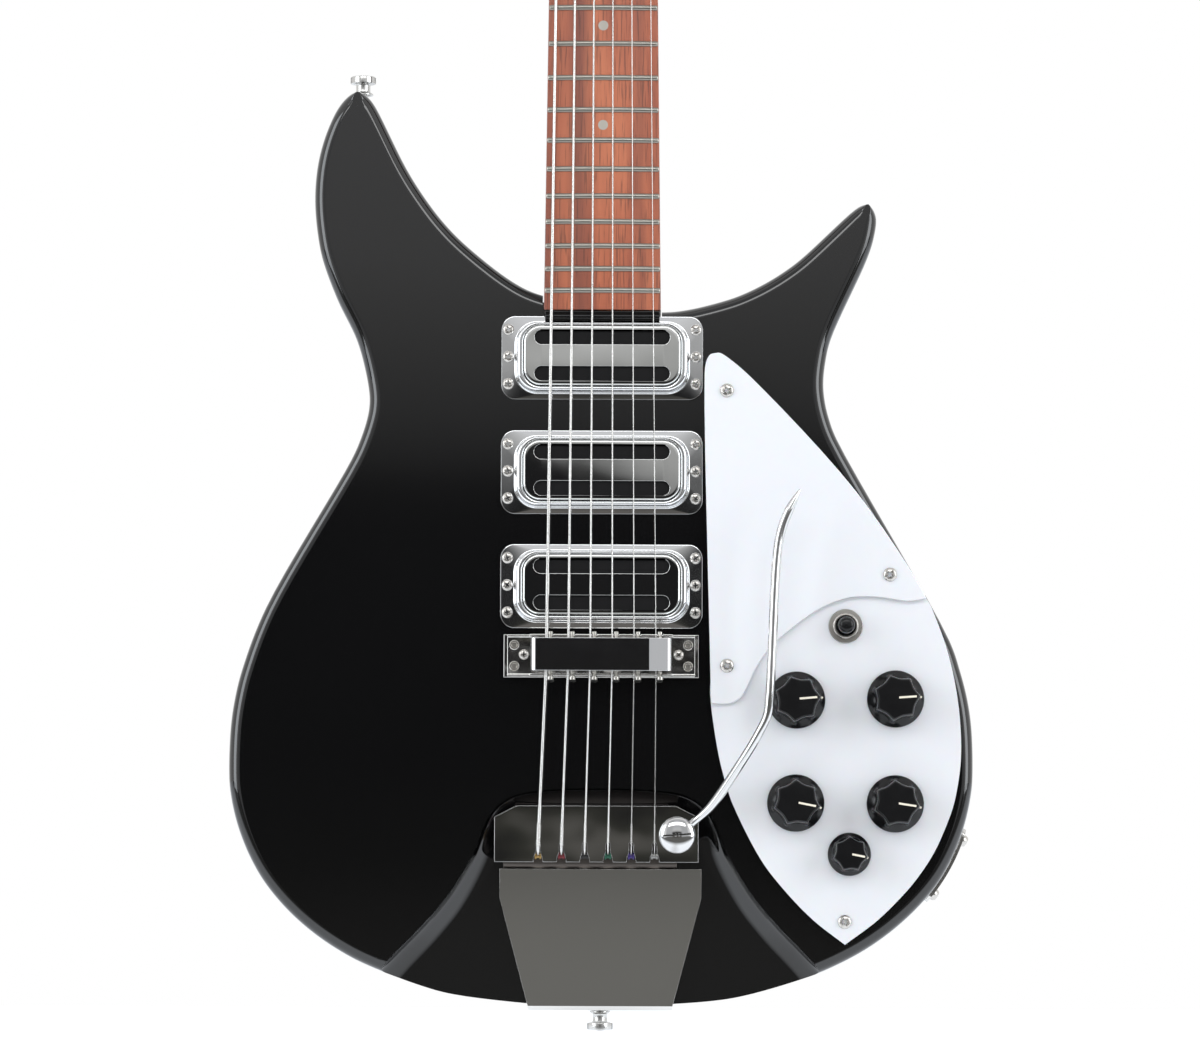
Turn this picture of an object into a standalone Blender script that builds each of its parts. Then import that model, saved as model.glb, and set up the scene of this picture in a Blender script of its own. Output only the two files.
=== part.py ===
# Semi-hollow electric guitar, three pickups, vibrato tailpiece.
#
# The pieces are drawn flat: x across the body with the controls at +x, y from
# the tail end up the neck, z out of the face, all in millimetres. The frame
# empty then stands the guitar up: neck along +Z, face towards -Y, with the
# centre of the tail end at the world's origin, at half the body's depth.
import math

import bmesh
import bpy
from mathutils import Matrix, Vector

for old in list(bpy.data.objects):
    bpy.data.objects.remove(old, do_unlink=True)

MM = 0.001
GAP = 0.3                  # clearance between pieces that touch

# Strings and neck
SCALE_LENGTH = 527.0
BRIDGE_Y = 149.2           # end of the scale length
NUT_Y = BRIDGE_Y + SCALE_LENGTH
NUT_THICK = 3.5
NUT_WIDTH = 41.4
FRET_COUNT = 21
LAST_FRET_WIDTH = 50.0
BOARD_END_Y = 297.6
BOARD_RADIUS = 254.0
BOARD_THICK = 5.7
FRET_HEIGHT = 1.0
FRET_BASE = 2.4
NECK_TOP = 21.0            # glue plane of the fretboard
BOARD_TOP = NECK_TOP + GAP + BOARD_THICK
STRING_RADII = (0.66, 0.53, 0.41, 0.31, 0.20, 0.15)
SPREAD_AT_NUT = 35.6
SPREAD_AT_BRIDGE = 46.7
SPREAD_AT_TAIL = 49.6
ACTION_AT_NUT = 0.4        # string above the fret tops
ACTION_AT_BRIDGE = 3.7
SADDLE_SETBACK = (3.4, 2.6, 1.8, 2.6, 1.8, 1.0)

# Body
BODY_DEPTH = 35.0
FACE = BODY_DEPTH / 2
BACK = -BODY_DEPTH / 2
BACK_PLATE = 6.0
TOP_PLATE = 5.0
EDGE_RADIUS = 5.0
RIM_WALL = 9.0
CENTRE_BLOCK = 44.0        # half width of the solid middle
OUTLINE = (
    (0, 0), (30, 0.9), (62, 5.0), (90, 13.4), (112, 23.9), (130, 37.3), (144.5, 53.5),
    (153.3, 71), (158, 88.2), (159.3, 105.5), (157.1, 131), (149.3, 157), (136.8, 182.8),
    (121.2, 208.9), (105.4, 234.7), (97.8, 252), (95.3, 267.5), (98.5, 286.6), (106, 304),
    (114.1, 321.4), (118.1, 338.9), (114.6, 345.2), (108.6, 342.8), (93, 327.8),
    (77.5, 315.4), (61.9, 306.7), (46.4, 301.5), (25.7, 298.2), (-27.8, 305.9),
    (-48.6, 318.3), (-69.4, 337.7), (-85.1, 360.7), (-95.7, 382), (-100.8, 390.4),
    (-106, 393.6), (-111.5, 390.4), (-117.1, 381.6), (-122.7, 364.2), (-124.2, 344),
    (-120.8, 320.6), (-114.3, 303.2), (-105.9, 285.9), (-100.2, 262), (-101.2, 251.3),
    (-107.7, 234), (-122.5, 209), (-137.6, 182.8), (-149.4, 157), (-156.9, 131),
    (-159.2, 105.5), (-158, 88.2), (-153.2, 71), (-144.2, 53.5), (-130, 37.3),
    (-112, 23.9), (-90, 13.4), (-62, 5.0), (-30, 0.9))

# The scooped tail: half of its horseshoe edge, from the tail end upwards
SCOOP_EDGE = ((122, -24), (92.6, 17), (74.6, 36), (64, 49), (53.5, 67), (50, 76),
              (45.5, 84), (37, 89.8), (20, 92.5), (0, 93))
SCOOP_TAIL_DEPTH = 8.0
SCOOP_HEAD_DEPTH = 4.5
SCOOP_FILLET = 10.0

# Headstock, in its own frame: s runs up from the nut, w out of its face
HEAD_TILT = math.radians(10)
HEAD_THICK = 14.0
HEAD_HALF_WIDTHS = ((12, 22.5), (24, 29.5), (36, 34.5), (60, 36.5), (100, 36), (140, 35),
                    (160, 35.5), (174, 34), (184, 28), (191, 18), (195, 7))
POST_X = 23.0
POST_S = (45.0, 85.0, 125.0)

# Neck below its fretboard; the tongue lies in the body, under the first pickup
SHAFT_DEPTHS = ((346, 17.5), (430, 16.6), (560, 15.6), (664, 14.8))
HEEL_Y = 307.0
TENON_END_Y = BOARD_END_Y - 1.4
TENON_BOTTOM = -10.0
LIP_LEDGE = (2.9, 3.1)     # lip over the first pickup's bezel: reach and height of its lower step
LIP_STEP = (1.4, 5.9)      # and of its upper one
TONGUE_END_Y = 262.0
TONGUE_TOP = 1.5

# Tuners: a three-on-a-plate strip each side, worm and wheel in the open
POST_RADIUS = 3.1
POST_TOP = 12.0
WRAP_HEIGHT = 6.5          # middle of the string's turns, above the headstock's face
TUNER_PLATE_THICK = 1.2
TUNER_PLATE_WIDTH = 17.0
WHEEL_TEETH = 14
WHEEL_PITCH_RADIUS = 5.25
WHEEL_THICK = 3.0
WORM_PITCH_RADIUS = 2.75
TOOTH_ADDENDUM = 0.65
TOOTH_DEDENDUM = 0.9
TOOTH_WIDTH = 0.75
WORM_TURNS = 3.0
WORM_SIDES = 8
AXLE_HEIGHT = HEAD_THICK + GAP + TUNER_PLATE_THICK + WORM_PITCH_RADIUS + TOOTH_ADDENDUM + 0.4
LUG_THICK = 2.0
LUG_SPAN = 12.4            # between the two bearing lugs of a worm
KEY_SHAFT = 1.6
BUTTON = ((16.5, KEY_SHAFT, KEY_SHAFT), (17.4, 2.5, 2.5), (21.2, 5.2, 2.3), (25.0, 8.0, 3.2),
          (28.6, 7.6, 3.1), (31.6, 3.6, 1.6))   # place along the axle, half width, half depth

# Pickups
BEZEL = (43.3, 18.0)       # half width and half height of the flange
PICKUP_Y = (TENON_END_Y - 2 * GAP - BEZEL[1], 228.3, 179.3)   # the first abuts the neck
COVER = (33.6, 12.5)
COVER_CORNER = 6.2
COVER_TOP = 26.0
SLOT_LENGTH = 58.0
SLOT_WIDTH = 6.2
SLOT_SPACING = 15.6
POCKET_FLOOR = 2.5

# Bridge
BRIDGE_CENTRE_Y = 149.4
BRIDGE_HALF = (41.7, 9.2)
TRAY_FLOOR = FACE + 4.3
TRAY_WALL_TOP = FACE + 11.0
SADDLE_SCREW_Z = FACE + 9.0
COVER_HALF_WIDTH = 28.6
COVER_CEILING = FACE + 18.0
SCREW_OFFSET = 1.7         # from a string to its saddle's length screw
HEIGHT_POST = (37.1, 4.5)  # from the bridge's middle

# Vibrato tailpiece
PLATE_TOP = FACE + 4.5
SHEET = 1.2
TAIL_ASIDE = -1.8          # how far the string plate sits to the bass side
STRING_PLATE = tuple((x + TAIL_ASIDE, y) for x, y in (
    (-43.4, 61.5), (43.4, 61.5), (43.4, 80.6), (34, 85.4), (-34, 85.4), (-43.4, 80.6)))
BALL_Y = 64.2
BALL_RADIUS = 1.95
ROCK_Y = 58.0              # the line about which the spring lets the string plate rock
ROCK_Z = 14.0
SPRING_TOP = PLATE_TOP - 6.5
COVER_EDGE_Y = 58.6
TAIL_HALF_WIDTH = 43.0
COVER_TOP_Z = SPRING_TOP + 1.3
ARM_PIVOT = (32.6, 73.1)
SCREW_SHANK = 3.0
ARM_ROUTE = ((36.2, 76.0, 23.65), (41.0, 79.8, 23.8), (47, 85.4, 26.4), (59.8, 104.2, 35),
             (66.6, 115.6, 38.4), (70.3, 123.5, 39.6), (71.4, 133, 40.4), (74.2, 190, 42.4),
             (76, 201.5, 42.7), (79.4, 210.5, 43), (84, 219, 43.2))
ROD_RADIUS = 2.0

# Pickguard sheets and controls
GUARD_RIGHT = ((104.1, 26.8), (118.2, 37.4), (130.9, 50.2), (140.3, 63), (146.7, 75.8),
               (151, 88.5), (153.2, 101.3), (153.7, 114.1), (152, 133.3), (147.8, 152.5),
               (142.3, 167.8), (137.1, 178.2), (116.2, 210.3), (101.2, 229.6), (84, 248.9),
               (64.7, 268.3), (56, 276), (50.5, 279.6))
GUARD_LEFT = ((50.5, 279.6), (46.5, 279), (44.4, 275), (44.0, 261.7), (44.4, 235.9),
              (44.8, 200), (45.6, 165), (46.6, 133), (49.1, 113.7), (51.7, 101), (56.4, 86.1),
              (61.5, 75.5), (68.4, 62.7), (78.2, 50), (90.5, 37.3), (104.1, 26.8))
SHEET_STEP = ((46.9, 129.3), (55, 129.2), (60, 132.2), (65.7, 143.6), (72.1, 153.1),
              (80.6, 160.8), (92.6, 169.4), (106.2, 174.6), (119.1, 174.8), (131, 173.2),
              (138.8, 174.4))
SHEET_OVERLAP = 12.0
GUARD_THICK = 2.4
GUARD_SPACERS = ((53.5, 263.3), (53.7, 145.3))
BIG_KNOBS = ((83.5, 130.8), (125.7, 131.4), (83.1, 86.9), (125.5, 86.7))
SMALL_KNOB = (105.9, 65.2)
KNOB_REST = (5, 4, -11, -8.5, -11)      # degrees, where the pointers stand
TOGGLE = (104.4, 162.5)
TOGGLE_BUSHING = 5.6
SHAFT_RADIUS = 3.0
POT_RADIUS = 11.0
POT_BUSHING = 4.8
POT_TOP = FACE - 3.0
SHAFT_END = POT_TOP - 7
POT_DEPTH = 9.6
LEAF_FRAME = (7.0, 7.5)    # half sizes of the toggle's leaf frame
KNOB_FLUTES = 7
KNOB_BOTTOM = FACE + GAP + GUARD_THICK + 0.7
KNOB_RECESS = KNOB_BOTTOM + 3.6

# Jack plate on the lower treble rim, and the strap buttons
JACK_CENTRE = (149.6, 59.8)
JACK_NORMAL = (0.866, -0.5)
JACK_Z = 1.0
JACK_BORE = 3.5
JACK_SLEEVE = 5.2
JACK_DISH = (6.3, 3.4)     # radius and depth of the dish that its nut lies in
PLATE_HALF_LENGTH = 17.5
PLATE_HALF_HEIGHT = 9.0
HORN_TIP = (-104.4, 393.7)
STRAP_SCREW = 2.0


# Frames
frame = bpy.data.objects.new("guitar_frame", None)
bpy.context.collection.objects.link(frame)
frame.rotation_euler = (math.radians(90), 0, 0)

head_frame = bpy.data.objects.new("headstock_frame", None)
bpy.context.collection.objects.link(head_frame)
head_frame.parent = frame
HEAD_START_Y = NUT_Y + NUT_THICK + GAP
head_frame.location = (0, HEAD_START_Y * MM, NECK_TOP * MM)
head_frame.rotation_euler = (-HEAD_TILT, 0, 0)


# Materials
def material(name, colour, roughness, metallic):
    made = bpy.data.materials.new(name)
    made.use_nodes = True
    shader = made.node_tree.nodes["Principled BSDF"]
    shader.inputs["Base Color"].default_value = (*colour, 1)
    shader.inputs["Roughness"].default_value = roughness
    shader.inputs["Metallic"].default_value = metallic
    return made


LACQUER = material("black_lacquer", (0.006, 0.006, 0.007), 0.08, 0)
ROSEWOOD = material("red_brown_board", (0.26, 0.09, 0.045), 0.3, 0)
BONE = material("nut_material", (0.80, 0.78, 0.70), 0.4, 0)
CHROME = material("chrome", (0.75, 0.75, 0.76), 0.06, 1)
NICKEL = material("nickel", (0.62, 0.60, 0.56), 0.22, 1)
STEEL = material("string_steel", (0.60, 0.60, 0.60), 0.25, 1)
ACRYLIC = material("white_acrylic", (0.86, 0.87, 0.90), 0.12, 0)
BLACK_PLASTIC = material("black_plastic", (0.01, 0.01, 0.011), 0.25, 0)
ZINC = material("zinc_plate", (0.45, 0.45, 0.44), 0.4, 1)


# Curves and outlines
def spline(points, steps, closed=False):
    """Centripetal curve through the points, with steps pieces between two of them."""
    count = len(points)
    dimension = len(points[0])
    out = []
    for i in range(count if closed else count - 1):
        if closed:
            quad = [Vector(points[(i + k) % count]) for k in (-1, 0, 1, 2)]
        else:
            quad = [Vector(points[min(max(i + k, 0), count - 1)]) for k in (-1, 0, 1, 2)]
            if i == 0:
                quad[0] = 2 * quad[1] - quad[2]
            if i == count - 2:
                quad[3] = 2 * quad[2] - quad[1]
        knots = [0.0]
        for a, b in zip(quad, quad[1:]):
            knots.append(knots[-1] + math.sqrt((b - a).length))
        for step in range(steps):
            t = knots[1] + (knots[2] - knots[1]) * step / steps
            level = quad
            for span, first in ((1, 0), (2, 0), (1, 1)):
                following = []
                for j in range(len(level) - 1):
                    low, high = knots[first + j], knots[first + j + span]
                    following.append(level[j].lerp(level[j + 1], (t - low) / (high - low)))
                level = following
            out.append(tuple(level[0][k] for k in range(dimension)))
    if not closed:
        out.append(tuple(points[-1]))
    return out


def without_straights(points, least_bend):
    """Leave out the points of a closed outline where it bends less than this, in degrees."""
    out = [points[0]]
    for i in range(1, len(points)):
        here = Vector(points[i])
        before = here - Vector(out[-1])
        after = Vector(points[(i + 1) % len(points)]) - here
        if math.degrees(abs(before.angle_signed(after, 0))) >= least_bend:
            out.append(points[i])
    return out


def inset(points, distance):
    """The closed counter-clockwise outline, moved inwards by a distance."""
    out = []
    count = len(points)
    for i in range(count):
        before = Vector(points[i - 1])
        here = Vector(points[i])
        after = Vector(points[(i + 1) % count])
        first = (here - before).normalized()
        second = (after - here).normalized()
        normal = Vector((-first.y - second.y, first.x + second.x)).normalized()
        stretch = max(normal.dot(Vector((-first.y, first.x))), 0.5)
        out.append(tuple(here + normal * distance / stretch))
    return out


def clip(points, origin, normal):
    """The part of a closed outline on the side of a line that normal points to."""
    out = []
    origin = Vector(origin)
    normal = Vector(normal)
    for i in range(len(points)):
        here = Vector(points[i])
        after = Vector(points[(i + 1) % len(points)])
        side_here = (here - origin).dot(normal)
        side_after = (after - origin).dot(normal)
        if side_here >= 0:
            out.append(tuple(here))
        if (side_here >= 0) != (side_after >= 0):
            out.append(tuple(here.lerp(after, side_here / (side_here - side_after))))
    return out


def circle(radius, count, centre=(0, 0), turn=0.0):
    return [(centre[0] + radius * math.cos(math.tau * k / count + turn),
             centre[1] + radius * math.sin(math.tau * k / count + turn)) for k in range(count)]


def round_rectangle(half_width, half_height, radius, corner=3, centre=(0, 0)):
    out = []
    for quarter, (sx, sy) in enumerate(((1, 1), (-1, 1), (-1, -1), (1, -1))):
        for k in range(corner + 1):
            angle = math.radians(90) * (quarter + k / corner)
            out.append((centre[0] + sx * (half_width - radius) + radius * math.cos(angle),
                        centre[1] + sy * (half_height - radius) + radius * math.sin(angle)))
    return out


# Solids, as lists of points and faces
def at_height(outline, z):
    return [(x, y, z) for x, y in outline]


def loft(rings, closed=False):
    """Join rings of equally many points; an open row of rings gets two end faces."""
    size = len(rings[0])
    points = [p for ring in rings for p in ring]
    faces = []
    count = len(rings)
    for r in range(count if closed else count - 1):
        a = r * size
        b = ((r + 1) % count) * size
        for k in range(size):
            n = (k + 1) % size
            faces.append((a + k, a + n, b + n, b + k))
    if not closed:
        faces.append(tuple(range(size))[::-1])
        faces.append(tuple(range((count - 1) * size, count * size)))
    return points, faces


def prism(outline, low, high):
    return loft([at_height(outline, low), at_height(outline, high)])


def block(low, high):
    outline = ((low[0], low[1]), (high[0], low[1]), (high[0], high[1]), (low[0], high[1]))
    return prism(outline, low[2], high[2])


def turned(profile, count, centre=(0, 0, 0), axis=(0, 0, 1)):
    """Revolve (radius, height) pairs, listed bottom to top, about an axis through centre."""
    place = Matrix.Translation(centre) @ Vector((0, 0, 1)).rotation_difference(
        Vector(axis).normalized()).to_matrix().to_4x4()
    rings = [[tuple(place @ Vector((x, y, h))) for x, y in circle(r, count)] for r, h in profile]
    return loft(rings)


def bar(profile, low_x, high_x):
    """Extrude a closed outline of (y, z) pairs along x."""
    return loft([[(low_x, y, z) for y, z in profile], [(high_x, y, z) for y, z in profile]])


def rod(route, radii, sides):
    """A round bar along a route, with a radius at each of its points."""
    rings = []
    side = None
    for i, here in enumerate(route):
        here = Vector(here)
        before = Vector(route[max(i - 1, 0)])
        after = Vector(route[min(i + 1, len(route) - 1)])
        along = (after - before).normalized()
        if side is None:
            side = along.orthogonal().normalized()
        side = (side - along * side.dot(along)).normalized()
        other = along.cross(side)
        rings.append([tuple(here + radii[i] * (side * math.cos(a) + other * math.sin(a)))
                      for a in (math.tau * k / sides for k in range(sides))])
    return loft(rings)


def together(*solids):
    """Several separate solids as one list of points and faces, for a cutter."""
    points = []
    faces = []
    for solid_points, solid_faces in solids:
        start = len(points)
        points += solid_points
        faces += [tuple(start + k for k in face) for face in solid_faces]
    return points, faces


def add(name, solid, finish, parent=frame, pivot=(0, 0, 0), turn=(0, 0, 0), sharp=30):
    """Make an object whose origin is the pivot; the solid's points are in the parent's frame."""
    points, faces = solid
    mesh = bpy.data.meshes.new(name)
    mesh.from_pydata([[(p[k] - pivot[k]) * MM for k in range(3)] for p in points], [], faces)
    shape = bmesh.new()
    shape.from_mesh(mesh)
    bmesh.ops.recalc_face_normals(shape, faces=shape.faces)
    shape.to_mesh(mesh)
    shape.free()
    if finish:
        mesh.materials.append(finish)
    mesh.shade_smooth()
    mesh.set_sharp_from_angle(angle=math.radians(sharp))
    made = bpy.data.objects.new(name, mesh)
    bpy.context.collection.objects.link(made)
    made.parent = parent
    made.location = [value * MM for value in pivot]
    made.rotation_euler = turn
    return made


def combine(target, name, solid, operation, parent=frame):
    """Cut a solid from the target, or join it on, with a hidden tool object."""
    tool = add(name, solid, None, parent)
    tool.hide_render = True
    tool.display_type = "WIRE"
    step = target.modifiers.new(name, "BOOLEAN")
    step.operation = operation
    step.solver = "EXACT"
    step.object = tool


def cut(target, name, solid, parent=frame):
    combine(target, name, solid, "DIFFERENCE", parent)


def join(target, name, solid, parent=frame):
    combine(target, name, solid, "UNION", parent)


# Measures that several pieces share
body_outline = without_straights(spline(OUTLINE, 2, closed=True), 4.6)
right_edge = spline(GUARD_RIGHT, 2)
left_edge = spline(GUARD_LEFT, 2)
sheet_step = spline(SHEET_STEP, 2)


def fret_y(number):
    return BRIDGE_Y + SCALE_LENGTH * 2 ** (-number / 12)


def neck_half_width(y):
    share = (NUT_Y - y) / (NUT_Y - fret_y(FRET_COUNT))
    return (NUT_WIDTH + (LAST_FRET_WIDTH - NUT_WIDTH) * share) / 2


def board_height(x):
    return BOARD_TOP - x * x / (2 * BOARD_RADIUS)


def string_x(number, spread):
    return spread * (number / 5 - 0.5)


def nut_string_z(number):
    x = string_x(number, SPREAD_AT_NUT)
    return board_height(x) + FRET_HEIGHT + ACTION_AT_NUT + STRING_RADII[number]


def saddle_string_z(number):
    x = string_x(number, SPREAD_AT_BRIDGE)
    return board_height(x) + FRET_HEIGHT + ACTION_AT_BRIDGE + STRING_RADII[number]


def saddle_y(number):
    return BRIDGE_Y - SADDLE_SETBACK[number]


def tilt(point):
    """A point of the headstock's frame in the guitar's frame."""
    return tuple(Vector((0, HEAD_START_Y, NECK_TOP))
                 + Matrix.Rotation(-HEAD_TILT, 3, "X") @ Vector(point))


def scoop_floor(y):
    share = y / SCOOP_EDGE[-1][1]
    return FACE - SCOOP_TAIL_DEPTH + (SCOOP_TAIL_DEPTH - SCOOP_HEAD_DEPTH) * share


def lower_sheet_outline():
    top_edge = [(x, y + SHEET_OVERLAP) for x, y in sheet_step]
    right = [p for p in right_edge if p[1] < top_edge[-1][1] - 1]
    left = [p for p in left_edge if p[1] < top_edge[0][1] - 1]
    return without_straights(right[:-1] + top_edge[-3::-1] + left[:-1], 4.2)


def upper_sheet_outline():
    right = [p for p in right_edge if p[1] > sheet_step[-1][1] + 1]
    left = [p for p in left_edge if p[1] > sheet_step[0][1] + 1]
    return without_straights(sheet_step + right + left[1:], 4.2)


def control_opening():
    outline = without_straights(inset(lower_sheet_outline(), 11), 8.0)
    return clip(clip(outline, (CENTRE_BLOCK + 17, 0), (1, 0)), (0, 52), (0, 1))


# Body
def chamber(side):
    """Hollow on one side: the rim wall's inner line, the centre block and the scoop bound it."""
    outline = without_straights(inset(body_outline, RIM_WALL), 9.0)
    outline = clip(outline, (side * CENTRE_BLOCK, 0), (side, 0))
    low, high = SCOOP_EDGE[1], SCOOP_EDGE[4]
    along = (Vector(high) - Vector(low)).normalized()
    normal = (side * along.y, -along.x)
    beyond = (side * low[0] + normal[0] * RIM_WALL, low[1] + normal[1] * RIM_WALL)
    outline = clip(outline, beyond, normal)
    return clip(outline, (0, 316), (0, -1))


def build_body():
    steps = 2
    rings = []
    for k in range(steps + 1):
        angle = math.radians(90) * k / steps
        rings.append(at_height(inset(body_outline, EDGE_RADIUS * (1 - math.sin(angle))),
                               FACE - EDGE_RADIUS * (1 - math.cos(angle))))
    joint = BACK + BACK_PLATE
    rings.append(at_height(body_outline, joint + GAP / 2))
    front = add("body_front", loft(rings[::-1]), LACQUER)

    back_rings = [at_height(body_outline, joint - GAP / 2)]
    for k in range(steps + 1):
        angle = math.radians(90) * k / steps
        back_rings.append(at_height(inset(body_outline, EDGE_RADIUS * (1 - math.cos(angle))),
                                    BACK + EDGE_RADIUS * (1 - math.sin(angle))))
    add("body_back", loft(back_rings[::-1]), LACQUER)

    ceiling = FACE - TOP_PLATE
    cut(front, "bass_chamber", prism(chamber(-1), joint - 1, ceiling))
    cut(front, "treble_chamber", prism(chamber(1), joint - 1, ceiling))
    cut(front, "control_opening", prism(control_opening(), ceiling - 2, FACE + 2))

    edge = spline(SCOOP_EDGE, 2)
    loop = edge + [(-x, y) for x, y in edge[-2::-1]]
    arcs = 3
    scoop = [at_height(loop, FACE + 4)]
    for k in range(arcs + 1):
        angle = math.radians(90) * k / arcs
        ring = inset(loop, SCOOP_FILLET * (1 - math.cos(angle)))
        scoop.append([(x, y, FACE - (FACE - scoop_floor(y)) * math.sin(angle)) for x, y in ring])
    cut(front, "tail_scoop", loft(scoop[::-1]))

    low, high = TENON_BOTTOM - GAP, NECK_TOP
    width = neck_half_width(BOARD_END_Y) + GAP + 0.2
    cut(front, "neck_pocket", block((-width, TONGUE_END_Y - GAP, low), (width, SHAFT_DEPTHS[0][0], high)))
    for number, y in enumerate(PICKUP_Y, 1):
        outline = round_rectangle(COVER[0] + 2.6, COVER[1] + 1.5, 4, 2, (0, y))
        cut(front, "pickup_pocket_%d" % number, prism(outline, POCKET_FLOOR, FACE + 2))

    jack = Vector((*JACK_CENTRE, JACK_Z))
    normal = Vector((*JACK_NORMAL, 0))
    hole = JACK_DISH[0] + SHEET + 1
    cut(front, "jack_hole", turned([(hole, -28), (hole, 12)], 16, jack, normal))
    cut(front, "end_screw_hole", turned([(STRAP_SCREW + GAP, -3), (STRAP_SCREW + GAP, 24)], 8,
                                        (0, 0, 0), (0, 1, 0)))
    cut(front, "horn_screw_hole", turned([(STRAP_SCREW + GAP, -22), (STRAP_SCREW + GAP, 3)], 8,
                                         (*HORN_TIP, 0), (0, 1, 0)))
    return front


# Neck with headstock, fretboard and nut
def neck_ring(y, half_width, top, depth, power, tilted=False):
    ring = []
    count = 8
    for k in range(count + 1):
        angle = math.pi * k / count
        across = math.cos(angle)
        x = half_width * math.copysign(abs(across) ** (2 / power), across)
        z = top - depth * math.sin(angle) ** (2 / power) if 0 < k < count else top
        ring.append(tilt((x, y, z)) if tilted else (x, y, z))
    return ring


def build_neck():
    tenon = neck_half_width(BOARD_END_Y)
    step = 0.2
    shaft_y, shaft_depth = SHAFT_DEPTHS[0]
    heel_depth = NECK_TOP - TENON_BOTTOM
    stations = [(y, (y - HEEL_Y) / (shaft_y - HEEL_Y))
                for y in (TONGUE_END_Y, TENON_END_Y, TENON_END_Y + step)]
    stations += [(HEEL_Y + (shaft_y - HEEL_Y) * k / 6, k / 6) for k in range(6)]
    rings = []
    for y, share in sorted(stations):
        ease = (1 - math.cos(math.pi * max(0, share))) / 2
        depth = heel_depth + (shaft_depth - heel_depth) * ease
        half_width = neck_half_width(y) if y > TENON_END_Y + step else tenon
        top = NECK_TOP if y > TENON_END_Y else TONGUE_TOP
        rings.append(neck_ring(y, half_width, top, depth - (NECK_TOP - top), 12 - 9.8 * ease))
    for y, depth in SHAFT_DEPTHS:
        rings.append(neck_ring(y, neck_half_width(y), NECK_TOP, depth, 2.2))
    end_width = neck_half_width(NUT_Y)
    rings.append(neck_ring(HEAD_START_Y, end_width, NECK_TOP, HEAD_THICK + 1.5, 2.8))
    for s, half_width in HEAD_HALF_WIDTHS:
        rings.append(neck_ring(s, half_width, 0, HEAD_THICK, 10, tilted=True))
    neck = add("neck", loft(rings), LACQUER)
    low = FACE + GAP + SHEET + GAP
    (ledge, ledge_height), (step_back, step_height) = LIP_LEDGE, LIP_STEP
    lip = [(TENON_END_Y - ledge, low), (BOARD_END_Y - GAP, low),
           (BOARD_END_Y - GAP, low + step_height), (TENON_END_Y - step_back, low + step_height),
           (TENON_END_Y - step_back, low + ledge_height), (TENON_END_Y - ledge, low + ledge_height)]
    join(neck, "lip", bar(lip, -tenon + GAP, tenon - GAP))
    holes = [turned([(POST_RADIUS + 0.9, -HEAD_THICK - 3), (POST_RADIUS + 0.9, 3)], 8, (x, s, 0))
             for x in (-POST_X, POST_X) for s in POST_S]
    cut(neck, "post_holes", together(*holes), head_frame)


def build_fretboard():
    across = (-1, 0, 1)
    fret_end = 1.6

    def ring(y, rise):
        half = neck_half_width(y)
        bottom = NECK_TOP + GAP
        inner = half - fret_end
        top = [(inner * k, y, board_height(inner * k) + rise) for k in across]
        left_end = (-half, y, board_height(half))
        right_end = (half, y, board_height(half))
        return [(half, y, bottom), right_end] + top[::-1] + [left_end, (-half, y, bottom)]

    rings = [ring(BOARD_END_Y, 0)]
    for number in range(FRET_COUNT, 0, -1):
        y = fret_y(number)
        rings += [ring(y - FRET_BASE / 2, 0), ring(y, FRET_HEIGHT), ring(y + FRET_BASE / 2, 0)]
    rings.append(ring(NUT_Y - GAP, 0))
    add("fretboard", loft(rings), ROSEWOOD)


def build_nut():
    half = NUT_WIDTH / 2
    lip = 0.35
    profile = [(-half, NECK_TOP + GAP), (half, NECK_TOP + GAP), (half, board_height(half) + 1)]
    for number in range(5, -1, -1):
        x = string_x(number, SPREAD_AT_NUT)
        z = nut_string_z(number)
        slot = STRING_RADII[number] + GAP
        profile += [(x + slot, z + lip), (x + slot * 0.8, z - slot), (x - slot * 0.8, z - slot),
                    (x - slot, z + lip)]
    profile.append((-half, board_height(half) + 1))
    rings = [[(x, y, z) for x, z in profile] for y in (NUT_Y, NUT_Y + NUT_THICK)]
    add("nut", loft(rings), BONE)


# Strings
def post_place(number):
    """Side, x and s of the post that a string goes to, low strings on the bass side."""
    side = -1 if number < 3 else 1
    row = number if number < 3 else 5 - number
    return side, side * POST_X, POST_S[row]


def build_strings():
    for number, radius in enumerate(STRING_RADII):
        side, post_x, post_s = post_place(number)
        wrap = POST_RADIUS + 3 * radius + GAP
        at_post = tilt((post_x - side * wrap, post_s, WRAP_HEIGHT))
        x_nut = string_x(number, SPREAD_AT_NUT)
        x_saddle = string_x(number, SPREAD_AT_BRIDGE)
        x_tail = string_x(number, SPREAD_AT_TAIL) + TAIL_ASIDE
        z_nut = nut_string_z(number)
        z_saddle = saddle_string_z(number)
        nut_back = (x_nut, NUT_Y + NUT_THICK, z_nut - 0.1)
        leave = 2.0
        plate = PLATE_TOP + radius + 0.5
        route = [at_post, nut_back, (x_nut, NUT_Y, z_nut),
                 (x_saddle, saddle_y(number) + 0.4, z_saddle),
                 (x_saddle, saddle_y(number) - 0.6, z_saddle - 0.1),
                 (x_tail, BALL_Y + leave + 2.4, plate),
                 (x_tail, BALL_Y + leave * 0.7, plate - 1.0),
                 (x_tail, BALL_Y + 0.3, PLATE_TOP - 1.5),
                 (x_tail, BALL_Y, PLATE_TOP - 1.5 - GAP),
                 (x_tail, BALL_Y, PLATE_TOP - 1.9 - GAP),
                 (x_tail, BALL_Y, PLATE_TOP - 4.4 - GAP),
                 (x_tail, BALL_Y, PLATE_TOP - 4.9 - GAP)]
        thin = [radius] * 8
        ball = [radius, BALL_RADIUS, BALL_RADIUS, BALL_RADIUS * 0.5]
        add("string_%d" % (6 - number), rod(route, thin + ball, 5), STEEL, sharp=80)


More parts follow.
